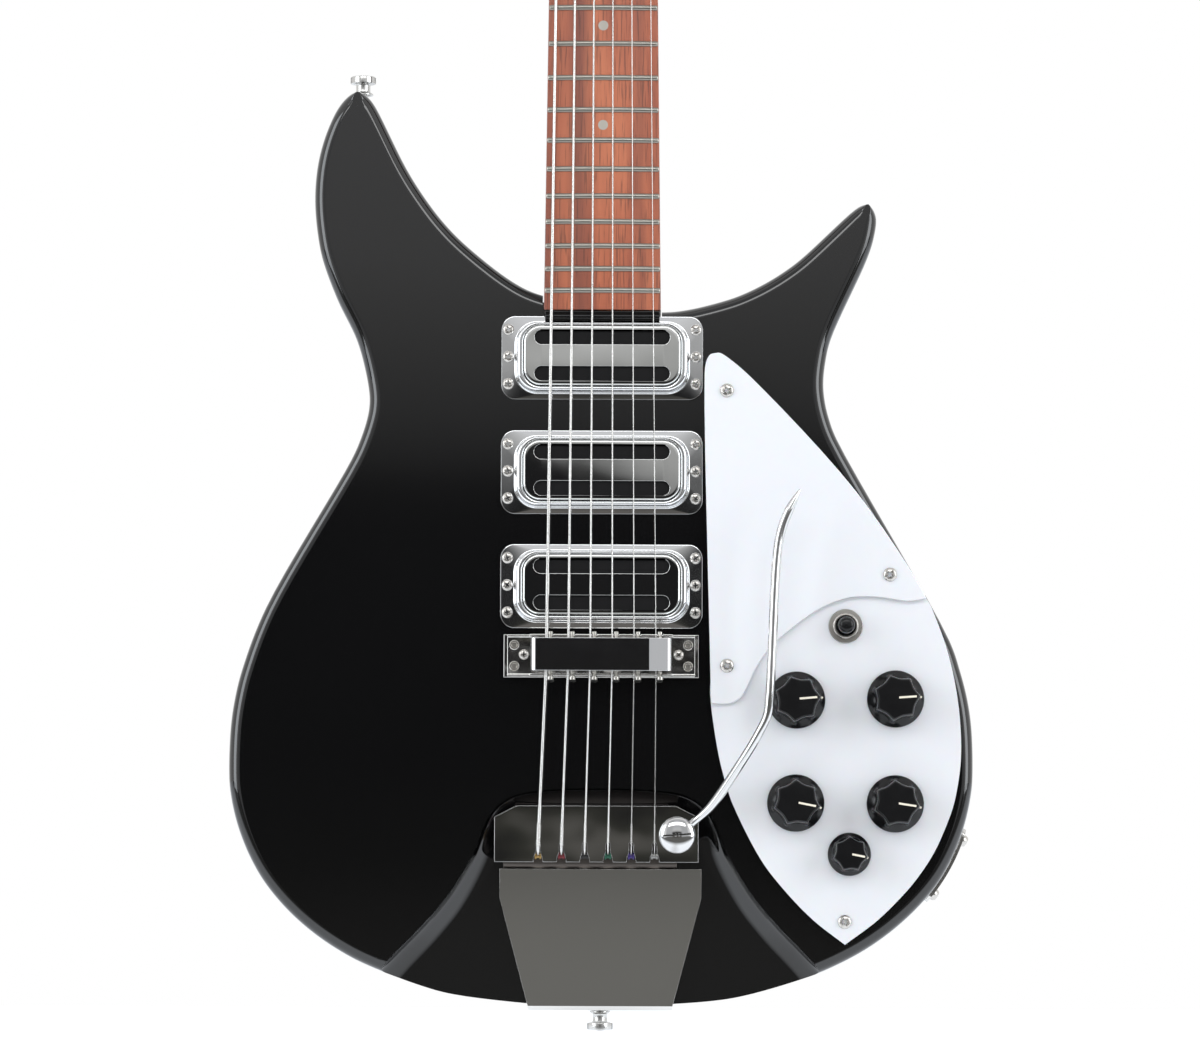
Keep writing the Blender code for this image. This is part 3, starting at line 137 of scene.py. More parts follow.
def curve_through(points, steps, closed=False):
    """Centripetal curve through the points, with steps pieces between two of them."""
    count = len(points)
    out = []
    for i in range(count if closed else count - 1):
        if closed:
            quad = [Vector(points[(i + k) % count]) for k in (-1, 0, 1, 2)]
        else:
            quad = [Vector(points[min(max(i + k, 0), count - 1)]) for k in (-1, 0, 1, 2)]
            if i == 0:
                quad[0] = 2 * quad[1] - quad[2]
            if i == count - 2:
                quad[3] = 2 * quad[2] - quad[1]
        knots = [0.0]
        for a, b in zip(quad, quad[1:]):
            knots.append(knots[-1] + math.sqrt((b - a).length))
        for step in range(steps):
            t = knots[1] + (knots[2] - knots[1]) * step / steps
            level = quad
            for span, first in ((1, 0), (2, 0), (1, 1)):
                following = []
                for j in range(len(level) - 1):
                    low, high = knots[first + j], knots[first + j + span]
                    following.append(level[j].lerp(level[j + 1], (t - low) / (high - low)))
                level = following
            out.append(tuple(level[0]))
    if not closed:
        out.append(tuple(points[-1]))
    return out


def rim_of(node, smooth_steps, corner=38.0):
    """The outline of a CAD node's foremost flat face, laid flat, drawn smooth between corners."""
    shape = bmesh.new()
    shape.from_mesh(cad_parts[node].data)
    bmesh.ops.remove_doubles(shape, verts=shape.verts, dist=2e-6)
    front = min(v.co.y for v in shape.verts)
    cap = {f for f in shape.faces if all(abs(v.co.y - front) < 1e-6 for v in f.verts)}
    ahead = {}
    for face in cap:
        for loop in face.loops:
            if not any(other in cap and other is not face for other in loop.edge.link_faces):
                ahead[loop.vert] = loop.link_loop_next.vert
    loops = []
    while ahead:
        start, here = ahead.popitem()
        walk = [start]
        while here is not start:
            walk.append(here)
            here = ahead.pop(here)
        loops.append([(v.co.x / MM, v.co.z / MM) for v in walk])
    shape.free()
    outline = max(loops, key=lambda loop: max(p[0] for p in loop) - min(p[0] for p in loop))
    area = sum(a[0] * b[1] - b[0] * a[1] for a, b in zip(outline, outline[1:] + outline[:1]))
    if area < 0:
        outline.reverse()
    corners = []
    for i, here in enumerate(outline):
        before = Vector(here) - Vector(outline[i - 1])
        after = Vector(outline[(i + 1) % len(outline)]) - Vector(here)
        if math.degrees(abs(before.angle_signed(after, 0))) > corner:
            corners.append(i)
    if not corners:
        return curve_through(outline, smooth_steps, closed=True)
    smooth = []
    for here, after in zip(corners, corners[1:] + [corners[0] + len(outline)]):
        run = [outline[k % len(outline)] for k in range(here, after + 1)]
        smooth += curve_through(run, smooth_steps)[:-1]
    return smooth


def inset(points, distances):
    """A closed counter-clockwise outline moved inwards, by its own distance at each point."""
    out = []
    for i, here in enumerate(points):
        along = Vector(points[(i + 1) % len(points)]) - Vector(points[i - 1])
        normal = Vector((-along.y, along.x)).normalized()
        out.append(tuple(Vector(here) + normal * distances[i]))
    return out


def room_for_rounding(points, widest):
    """How far each point of an outline may move inwards: less than its bend's own radius."""
    count = len(points)
    room = []
    for i in range(count):
        a, b, c = (Vector(points[(i + k) % count]) for k in (-2, 0, 2))
        twice_area = (b - a).cross(c - b)
        sides = (b - a).length * (c - b).length * (c - a).length
        radius = sides / (2 * twice_area) if twice_area > 1e-6 else 1e6
        room.append(min(widest, 0.6 * radius))
    least = [min(room[(i + k) % count] for k in range(-6, 7)) for i in range(count)]
    return [sum(least[(i + k) % count] for k in range(-4, 5)) / 9 for i in range(count)]


def at_height(outline, z):
    return [(x, y, z) for x, y in outline]


def rectangle(low_x, low_y, high_x, high_y):
    return [(low_x, low_y), (high_x, low_y), (high_x, high_y), (low_x, high_y)]


def quarter(steps):
    """Angles from 0 to 90 degrees in even steps."""
    return [math.radians(90) * k / steps for k in range(steps + 1)]


def moved(points, place):
    return [tuple(place @ Vector(p)) for p in points]


def facing(centre, axis):
    """A place at a centre whose own z points along an axis."""
    return Matrix.Translation(centre) @ Vector((0, 0, 1)).rotation_difference(
        Vector(axis).normalized()).to_matrix().to_4x4()


def loft(rings, closed=False):
    """Points and faces that join rings of equally many points, with end faces if open."""
    size = len(rings[0])
    count = len(rings)
    faces = []
    for r in range(count if closed else count - 1):
        a, b = r * size, ((r + 1) % count) * size
        faces += [(a + k, a + (k + 1) % size, b + (k + 1) % size, b + k) for k in range(size)]
    if not closed:
        faces.append(tuple(range(size))[::-1])
        faces.append(tuple(range((count - 1) * size, count * size)))
    return [p for ring in rings for p in ring], faces


def prism(outline, low, high):
    return loft([at_height(outline, low), at_height(outline, high)])


def circle(radius, count, centre=(0, 0), turn=0.0):
    return [(centre[0] + radius * math.cos(math.tau * k / count + turn),
             centre[1] + radius * math.sin(math.tau * k / count + turn)) for k in range(count)]


def turned(profile, count, centre=(0, 0, 0), axis=(0, 0, 1)):
    """Revolve (radius, height) pairs, listed bottom to top, about an axis through centre."""
    place = facing(centre, axis)
    return loft([moved(at_height(circle(r, count), h), place) for r, h in profile])


def together(*solids):
    points, faces = [], []
    for solid_points, solid_faces in solids:
        start = len(points)
        points += solid_points
        faces += [tuple(start + k for k in face) for face in solid_faces]
    return points, faces


def made_of(name, solid, place=STAND):
    """A shaded object from a solid drawn flat in mm, with its place in its mesh."""
    points, faces = solid
    mesh = bpy.data.meshes.new(name)
    mesh.from_pydata([tuple(p) for p in points], [], faces)
    mesh.transform(place)
    shape = bmesh.new()
    shape.from_mesh(mesh)
    bmesh.ops.recalc_face_normals(shape, faces=shape.faces)
    shape.to_mesh(mesh)
    shape.free()
    mesh.shade_smooth()
    made = bpy.data.objects.new(name, mesh)
    bpy.context.scene.collection.objects.link(made)
    return made


def settled(obj, *steps):
    """Run modifiers, each a kind and its settings, and keep the result as a plain mesh."""
    for kind, settings in steps:
        step = obj.modifiers.new(kind, kind)
        for key, value in settings.items():
            setattr(step, key, value)
    graph = bpy.context.evaluated_depsgraph_get()
    result = bpy.data.meshes.new_from_object(obj.evaluated_get(graph))
    obj.modifiers.clear()
    obj.data = result
    return obj


def carved(obj, *cutters, operation="DIFFERENCE"):
    settled(obj, *[("BOOLEAN", {"object": cutter, "operation": operation, "solver": "EXACT"})
                   for cutter in cutters])
    for cutter in cutters:
        bpy.data.objects.remove(cutter)
    return obj


def softened(obj, width, segments=2, limit=32.0):
    """Round the edges by a width in mm, and shade the flat faces flat."""
    obj.data.shade_smooth()
    return settled(obj, ("BEVEL", {"width": width * MM, "segments": segments,
                                   "limit_method": "ANGLE",
                                   "angle_limit": math.radians(limit)}),
                   ("WEIGHTED_NORMAL", {"keep_sharp": False}))


def creased(obj, angle=30.0):
    obj.data.shade_smooth()
    obj.data.set_sharp_from_angle(angle=math.radians(angle))
    return settled(obj, ("WEIGHTED_NORMAL", {"keep_sharp": True}))


def finished(obj, finish):
    """Give a piece its only surface."""
    obj.data.materials.clear()
    obj.data.materials.append(finish)


def fit(obj, body, cad_slot, finish, *nodes):
    """Give the finished piece its surface, and fix it to its body in place of CAD nodes."""
    finished(obj, finish)
    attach(obj, body)
    if nodes:
        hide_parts(*nodes)
    return obj


lacquer = surface("black_lacquer", LACQUER_BLACK, 0.16, coat=1.0, wear=0.05, patch=9.0,
                  grain=420.0, relief=0.002)
feed(shader_of(lacquer), [("Specular IOR Level", 0.1), ("Coat IOR", 1.6)])
FACE = flat_box("body_front")[1].z
BACK = flat_box("body_back")[0].z
outline = rim_of("body_back", 8)
room = room_for_rounding(outline, EDGE_RADIUS)
rings = []
for bend in quarter(8):
    share = 1 - math.sin(bend)
    rings.append(at_height(inset(outline, [r * share for r in room]),
                           BACK + EDGE_RADIUS * (1 - math.cos(bend))))
for bend in quarter(8):
    share = 1 - math.cos(bend)
    rings.append(at_height(inset(outline, [r * share for r in room]),
                           FACE - EDGE_RADIUS * (1 - math.sin(bend))))
body = made_of("body", loft(rings))

edge = curve_through(SCOOP_EDGE, 8)
horseshoe = edge + [(-x, y) for x, y in edge[-2::-1]]
arch_y = SCOOP_EDGE[-1][1]
rings = [at_height(horseshoe, FACE + ABOVE)]
for bend in quarter(16):
    ring = inset(horseshoe, [SCOOP_FILLET * (1 - math.cos(bend))] * len(horseshoe))
    rings.append([(x, y, FACE - math.sin(bend) * (SCOOP_DEPTH_AT_TAIL + y / arch_y * (
        SCOOP_DEPTH_AT_ARCH - SCOOP_DEPTH_AT_TAIL))) for x, y in ring])
scoop = made_of("scoop", loft(rings))

start_y, end_y, floor = TENON_POCKET
tenon_pocket = prism(rectangle(-TENON_HALF, start_y, TENON_HALF, end_y), floor, FACE + ABOVE)
pickup_pockets = []
for number in (1, 2, 3):
    low, high = flat_box("pickup_cover_%d" % number)
    aside, along = PICKUP_POCKET_GAP
    pickup_pockets.append(prism(rectangle(low.x - aside, low.y - along, high.x + aside,
                                          high.y + along), PICKUP_POCKET_FLOOR, FACE + ABOVE))
body = carved(body, scoop, made_of("neck_pocket", tenon_pocket))
body = carved(body, made_of("pickup_pockets", together(*pickup_pockets)))
body = carved(body, made_of("jack_hole", turned(
    [(JACK_HOLE_RADIUS, -28), (JACK_HOLE_RADIUS, 12)], 48, (*JACK_CENTRE, JACK_Z), JACK_NORMAL)))
creased(body, 30)
fit(body, "guitar", "black_lacquer", lacquer, "body_front", "body_back")

# Neck. One piece of maple from its tongue under the first pickup to the headstock, which
# leans back ten degrees; carved round behind the frets, lacquered like the body and glued
# into it. Pressed bushings line the six post holes.
HEAD_TILT = math.radians(10)
HEAD_START_Y = flat_box("nut")[1].y + CLEARANCE
NECK_TOP = flat_box("fretboard")[0].z - CLEARANCE
HEAD_THICK = 14.0
HEAD_HALF_WIDTHS = ((0, 20.7), (12, 22.5), (24, 29.5), (36, 34.5), (60, 36.5), (100, 36),
                    (140, 35), (160, 35.5), (174, 34), (184, 28), (191, 18), (195, 7))
SHAFT_DEPTHS = ((346, 17.5), (430, 16.6), (560, 15.6), (664, 14.8))
TENON_BOTTOM = -10.0
HEEL_Y = 307.0
SCALE_LENGTH = 527.0
BRIDGE_Y = 149.2
NUT_Y = BRIDGE_Y + SCALE_LENGTH
NUT_HALF = 20.7
FRETS = 21
LAST_FRET_HALF = 25.0
TO_FLAT = Matrix.Translation((0, HEAD_START_Y, NECK_TOP)) @ Matrix.Rotation(-HEAD_TILT, 4, "X")
HEAD = STAND @ TO_FLAT
TONGUE = (-10.0, 1.5)
TONGUE_START_Y = 262.0
TENON_END_Y = 296.2
POST_X = 23.0
POST_S = (45.0, 85.0, 125.0)
POST_HOLE_RADIUS = 4.0


def fret_y(number):
    return BRIDGE_Y + SCALE_LENGTH * 2 ** (-number / 12)


def board_half_width(y):
    share = (NUT_Y - y) / (NUT_Y - fret_y(FRETS))
    return NUT_HALF + (LAST_FRET_HALF - NUT_HALF) * share


def neck_section(y, half_width, top, depth, power):
    """Flat on top, a superellipse below: power 2 is round, 12 nearly square."""
    ring = []
    for k in range(41):
        turn = math.pi * k / 40
        across = math.cos(turn)
        x = half_width * math.copysign(abs(across) ** (2 / power), across)
        z = top - depth * math.sin(turn) ** (2 / power) if 0 < k < 40 else top
        ring.append((x, y, z))
    return ring


tongue_low, tongue_high = TONGUE
tenon_half = board_half_width(flat_box("fretboard")[0].y)
rings = [neck_section(y, tenon_half, top, top - tongue_low, 14)
         for y, top in ((TONGUE_START_Y, tongue_high), (TENON_END_Y, tongue_high),
                        (TENON_END_Y + 0.2, NECK_TOP))]
shaft_y, shaft_depth = SHAFT_DEPTHS[0]
heel_depth = NECK_TOP - TENON_BOTTOM
for k in range(18):
    share = k / 18
    ease = (1 - math.cos(math.pi * share)) / 2
    y = HEEL_Y + (shaft_y - HEEL_Y) * share
    rings.append(neck_section(y, board_half_width(y), NECK_TOP,
                              heel_depth + (shaft_depth - heel_depth) * ease, 12 - 9.8 * ease))
for y, depth in curve_through(SHAFT_DEPTHS, 6):
    rings.append(neck_section(y, board_half_width(y), NECK_TOP, depth, 2.2))
for s, half_width in curve_through(HEAD_HALF_WIDTHS, 5):
    blend = min(s / 14, 1)
    ring = neck_section(s, half_width, 0, HEAD_THICK + 1.5 * (1 - blend), 2.6 + 8 * blend)
    rings.append(moved(ring, TO_FLAT))
neck = made_of("neck_shaft", loft(rings))

posts = [(side * POST_X, s) for side in (-1, 1) for s in POST_S]
holes = [prism(circle(POST_HOLE_RADIUS, 32, place), -20, 4) for place in posts]
neck = carved(neck, made_of("post_holes", together(*holes), HEAD))
creased(neck, 35)
fit(neck, "guitar", "black_lacquer", lacquer, "neck")

nickel = surface("nickel_plate", (0.62, 0.60, 0.56), 0.2, 1.0, wear=0.08, patch=180.0,
                 grain=2600.0, relief=0.03)
bushings = [loft([at_height(circle(r, 32, place), z) for r, z in
                  ((3.95, -1), (3.95, 0.05), (5.2, 0.05), (5.0, 0.7), (4.0, 1.1),
                   (3.5, 1.0), (3.5, -1))], closed=True) for place in posts]
fit(creased(made_of("post_bushings", together(*bushings), HEAD)), "guitar", "nickel", nickel)

# Fretboard. Red-brown wood with dark streaks, rounded across to a ten-inch radius, with grey
# dots, under clear gloss lacquer and glued on the neck; twenty-one nickel-silver frets are
# pressed into it.
BOARD_RADIUS = 254.0
BOARD_TOP = NECK_TOP + CLEARANCE + 5.7
FRET_HEIGHT = 1.0
FRET_HALF_WIDTH = 1.2
DOTS = (3, 5, 7, 9, 12, 15)


def board_height(x):
    return BOARD_TOP - x * x / (2 * BOARD_RADIUS)


def arithmetic(add, operation, *values):
    return add("ShaderNodeMath", enumerate(values), operation=operation).outputs[0]


def mixed(add, factor, first, second, **settings):
    """A mix of two colours: the first where the factor is 0, the second where it is 1."""
    return add("ShaderNodeMix", [("Factor", factor), ("A", first), ("B", second)],
               data_type="RGBA", **settings).outputs["Result"]


def ramp(add, value, stops, interpolation="LINEAR"):
    """The colour for a value between stops, each a place from 0 to 1 and a colour."""
    made = add("ShaderNodeValToRGB", [("Fac", value)])
    made.color_ramp.interpolation = interpolation
    elements = made.color_ramp.elements
    for number, (position, colour) in enumerate(stops):
        stop = elements[number] if number < 2 else elements.new(position)
        stop.position = position
        stop.color = (*colour, 1)
    return made.outputs["Color"]


def wood_grain(name, pale, middle, dark, streak):
    """Long figure up the neck with pores and two dark streaks, under a clear coat."""
    made, add = new_finish(name)
    place = add("ShaderNodeTexCoord").outputs["Object"]

    def figure(scale, detail):
        stretch = add("ShaderNodeMapping", [("Vector", place), ("Scale", scale)])
        return add("ShaderNodeTexNoise", [("Vector", stretch.outputs["Vector"]), ("Scale", 1.0),
                                          ("Detail", detail)]).outputs["Fac"]

    grain = ramp(add, figure((140, 140, 9), 5), ((0.3, dark), (0.5, middle), (0.72, pale)))
    sideways = add("ShaderNodeSeparateXYZ", [("Vector", place)]).outputs["X"]
    wander = arithmetic(add, "MULTIPLY_ADD", figure((30, 30, 14), 2), 0.012, sideways)
    levels = ((0.0, 0.35), (0.10, 0.55), (0.20, 1.0), (0.30, 0.2), (0.40, 0.75), (0.46, 1),
              (0.72, 1), (0.84, 0.45), (0.9, 0.85), (1.0, 0.6))
    bands = ramp(add, mapped(add, wander, -0.019, 0.031),
                 [(position, (level,) * 3) for position, level in levels], "EASE")
    pores = mapped(add, figure((1500, 1500, 60), 3), 0.36, 0.46, 0.55)
    colour = mixed(add, 1.0, mixed(add, bands, (*streak, 1), grain), pores, blend_type="MULTIPLY")
    feed(shader_of(made), [("Base Color", colour), ("Roughness", 0.35), ("Coat Weight", 0.8),
                           ("Coat Roughness", 0.12)])
    return made


board_wood = wood_grain("lacquered_board", (0.56, 0.165, 0.07), (0.43, 0.11, 0.045),
                        (0.28, 0.061, 0.027), (0.17, 0.039, 0.021))
rings = []
for y in (flat_box("fretboard")[0].y, NUT_Y - CLEARANCE):
    half = board_half_width(y)
    ring = [(-half + 0.3, y, NECK_TOP + CLEARANCE)]
    ring += [(x, y, board_height(x)) for x in (half * (k / 12 - 1) for k in range(25))]
    ring += [(half - 0.3, y, NECK_TOP + CLEARANCE)]
    rings.append(ring)
board = softened(made_of("fretboard_wood", loft(rings)), 0.35, 2, 40)
fit(board, "guitar", "red_brown_board", board_wood, "fretboard")

dot_grey = surface("grey_dots", (0.42, 0.39, 0.34), 0.25, coat=0.6, patch=400.0, wear=0.05)
dots = []
for number in DOTS:
    y = (fret_y(number) + fret_y(number - 1)) / 2
    dots.append(turned([(2.15, BOARD_TOP - 1), (2.15, BOARD_TOP + 0.02),
                        (0.5, BOARD_TOP + 0.03)], 32, (0, y, 0)))
fit(creased(made_of("inlaid_dots", together(*dots))), "guitar", "nut_material", dot_grey)


def new_tree(name, *inputs):
    """A Geometry Nodes tree with named inputs, and the shorthand for its nodes."""
    tree = bpy.data.node_groups.new(name, "GeometryNodeTree")
    tree.interface.new_socket("Geometry", in_out="OUTPUT", socket_type="NodeSocketGeometry")
    tree.interface.new_socket("Geometry", in_out="INPUT", socket_type="NodeSocketGeometry")
    for label, kind in inputs:
        tree.interface.new_socket(label, in_out="INPUT", socket_type="NodeSocket" + kind)
    return tree, adder(tree)


def grown(name, tree, values, points=((0, 0, 0),), place=STAND):
    """Run a tree on a mesh of bare points, keep the plain mesh, and put it in its place."""
    mesh = bpy.data.meshes.new(name)
    mesh.from_pydata([tuple(p) for p in points], [], [])
    made = bpy.data.objects.new(name, mesh)
    bpy.context.scene.collection.objects.link(made)
    step = made.modifiers.new(name, "NODES")
    step.node_group = tree
    for socket in tree.interface.items_tree:
        if socket.in_out == "INPUT" and socket.name in values:
            step[socket.identifier] = values[socket.name]
    graph = bpy.context.evaluated_depsgraph_get()
    result = bpy.data.meshes.new_from_object(made.evaluated_get(graph))
    made.modifiers.clear()
    made.data = result
    result.transform(place)
    result.shade_smooth()
    return made


fret_metal = surface("nickel_silver", (0.34, 0.325, 0.29), 0.32, 1.0, wear=0.08, patch=300.0,
                     grain=3000.0, relief=0.03)
crown = [(FRET_HALF_WIDTH * math.cos(math.pi * k / 10), FRET_HEIGHT * math.sin(math.pi * k / 10))
         for k in range(11)]
section = [(FRET_HALF_WIDTH, -0.5)] + crown + [(-FRET_HALF_WIDTH, -0.5)]
end, shoulder = (1, 0.8, 0.55), (0.975, 1, 1)
stations = [(-end[0], *end[1:]), (-shoulder[0], *shoulder[1:])]
stations += [(k / 10, 1, 1) for k in range(-9, 10)] + [shoulder, end]
fret_bar = made_of("fret_bar", loft([[(x, y * wide, z * tall) for y, z in section]
                                     for x, wide, tall in stations]), Matrix.Identity(4))

tree, add = new_tree("fret_wires", ("Frets", "Int"), ("Scale Length", "Float"),
                     ("Bridge Place", "Float"), ("Nut Half Width", "Float"),
                     ("Widening", "Float"), ("Board Top", "Float"), ("Board Radius", "Float"),
                     ("Wire", "Object"))
given = add("NodeGroupInput").outputs
line = add("GeometryNodeMeshLine", [("Count", given["Frets"])])
index = add("GeometryNodeInputIndex").outputs[0]
octaves = arithmetic(add, "DIVIDE", arithmetic(add, "ADD", index, 1.0), -12.0)
reach = arithmetic(add, "MULTIPLY", arithmetic(add, "POWER", 2.0, octaves),
                   given["Scale Length"])
up = arithmetic(add, "ADD", reach, given["Bridge Place"])
spot = add("ShaderNodeCombineXYZ", [("Y", up), ("Z", given["Board Top"])]).outputs[0]
placed = add("GeometryNodeSetPosition", [("Geometry", line.outputs[0]), ("Position", spot)])
down = arithmetic(add, "SUBTRACT", given["Scale Length"], reach)
half = arithmetic(add, "MULTIPLY_ADD", down, given["Widening"], given["Nut Half Width"])
stretch = add("ShaderNodeCombineXYZ", [("X", half), ("Y", 1.0), ("Z", 1.0)]).outputs[0]
wire = add("GeometryNodeObjectInfo", [("Object", given["Wire"])]).outputs["Geometry"]
laid = add("GeometryNodeInstanceOnPoints", [("Points", placed.outputs[0]), ("Instance", wire),
                                            ("Scale", stretch)])
real = add("GeometryNodeRealizeInstances", [("Geometry", laid.outputs[0])])
place = add("GeometryNodeInputPosition").outputs[0]
aside = add("ShaderNodeSeparateXYZ", [(0, place)]).outputs["X"]
fall = arithmetic(add, "DIVIDE", arithmetic(add, "MULTIPLY", aside, aside), given["Board Radius"])
drop = arithmetic(add, "MULTIPLY", fall, -0.5)
sink = add("ShaderNodeCombineXYZ", [("Z", drop)]).outputs[0]
bent = add("GeometryNodeSetPosition", [("Geometry", real.outputs[0]), ("Offset", sink)])
coated = add("GeometryNodeSetMaterial", [("Geometry", bent.outputs[0]), ("Material", fret_metal)])
add("NodeGroupOutput", [(0, coated.outputs[0])])
widening = (LAST_FRET_HALF - NUT_HALF) / (NUT_Y - fret_y(FRETS))
frets = grown("frets", tree, {"Frets": FRETS, "Scale Length": SCALE_LENGTH, "Wire": fret_bar,
                              "Bridge Place": BRIDGE_Y, "Nut Half Width": NUT_HALF - 0.25,
                              "Widening": widening, "Board Top": BOARD_TOP,
                              "Board Radius": BOARD_RADIUS})
fit(creased(frets, 50), "guitar", "nickel", fret_metal)
bpy.data.objects.remove(fret_bar)

# Nut. A pale synthetic bar with a filed slot for each string, glued to the neck against the
# end of the board.
STRING_RADII = (0.66, 0.53, 0.41, 0.31, 0.20, 0.15)
SPREAD_AT_NUT = 35.6
NUT_THICK = 3.5
ACTION_AT_NUT = 0.4


def string_x(number, spread):
    return spread * (number / 5 - 0.5)


def string_z(number, spread, action):
    x = string_x(number, spread)
    return board_height(x) + FRET_HEIGHT + action + STRING_RADII[number]


nut_white = surface("nut_white", (0.72, 0.69, 0.60), 0.38, coat=0.2, wear=0.08, patch=220.0,
                    grain=1400.0, relief=0.05)
profile = [(-NUT_HALF, NECK_TOP + CLEARANCE), (NUT_HALF, NECK_TOP + CLEARANCE),
           (NUT_HALF, board_height(NUT_HALF) + 1)]
for number in range(5, -1, -1):
    x = string_x(number, SPREAD_AT_NUT)
    z = string_z(number, SPREAD_AT_NUT, ACTION_AT_NUT)
    slot = STRING_RADII[number] + 0.06
    profile.append((x + slot, z + 0.35))
    profile += [(x + slot * math.cos(math.pi * k / 6), z - slot * math.sin(math.pi * k / 6))
                for k in range(7)]
    profile.append((x - slot, z + 0.35))
profile.append((-NUT_HALF, board_height(NUT_HALF) + 1))
nut = made_of("nut_bar", loft([[(x, y, z) for x, z in profile]
                               for y in (NUT_Y, NUT_Y + NUT_THICK)]))
fit(softened(nut, 0.12, 2, 50), "guitar", "nut_material", nut_white, "nut")

# Strings. Four wound and two plain steel strings, from the coloured ball ends in the
# string plate over saddle and nut to the posts, each with its twisted lock at the ball end
# and its turns on the post.
SPREAD_AT_BRIDGE = 46.7
SPREAD_AT_TAIL = 49.6
TAIL_ASIDE = -1.8
ACTION_AT_BRIDGE = 3.7
SADDLE_SETBACK = (3.4, 2.6, 1.8, 2.6, 1.8, 1.0)
PLATE_TOP = flat_box("vibrato_plate")[1].z
BALL_Y = 64.2
POST_RADIUS = 3.1
WRAP_HEIGHT = 6.5
LOCK_TURNS = 8
LOCK_STEPS = 14
LOCK_PITCH = 1.15
BALL_COLOURS = (("brass", (0.34, 0.22, 0.07)), ("red", (0.17, 0.008, 0.015)),
                ("black", (0.008, 0.008, 0.009)), ("green", (0.004, 0.10, 0.055)),
                ("purple", (0.035, 0.015, 0.16)), ("silver", (0.30, 0.30, 0.29)))


def tube(route, radii, sides):
    """A round bar along a route, with a radius at each of its points."""
    rings = []
    side = None
    for i, here in enumerate(route):
        here = Vector(here)
        along = (Vector(route[min(i + 1, len(route) - 1)])
                 - Vector(route[max(i - 1, 0)])).normalized()
        side = along.orthogonal().normalized() if side is None else side
        side = (side - along * side.dot(along)).normalized()
        other = along.cross(side)
        rings.append([tuple(here + radii[i] * (side * math.cos(a) + other * math.sin(a)))
                      for a in (math.tau * k / sides for k in range(sides))])
    return loft(rings)


def head_point(x, s, w):
    """A point of the headstock's own frame, laid flat with the rest."""
    return tuple(TO_FLAT @ Vector((x, s, w)))


def post_place(number):
    """Side and places of the post that a string goes to, low strings on the bass side."""
    side = -1 if number < 3 else 1
    return side, side * POST_X, POST_S[number if number < 3 else 5 - number]


def embossed(made, height, distance, strength=1.0):
    """A finish with a further relief on top of the one that it has."""
    shader = shader_of(made)
    below = shader.inputs["Normal"].links[0].from_socket
    bump = adder(made.node_tree)("ShaderNodeBump", [
        ("Strength", strength), ("Distance", distance), ("Height", height), ("Normal", below)])
    feed(shader, [("Normal", bump.outputs["Normal"])])
    return made


def wound_steel(name, pitch):
    """String steel; fine bands along the string where it is wound."""
    made = surface(name, (0.66, 0.65, 0.63), 0.22, 1.0, wear=0.06, patch=120.0, grain=2400.0,
                   relief=0.05)
    if pitch:
        place = made.node_tree.nodes["Texture Coordinate"].outputs["Object"]
        bands = adder(made.node_tree)("ShaderNodeTexWave", [
            ("Vector", place), ("Scale", math.pi / 10 / pitch)], bands_direction="Z")
        embossed(made, bands.outputs["Fac"], 0.00008, 0.3)
    return made


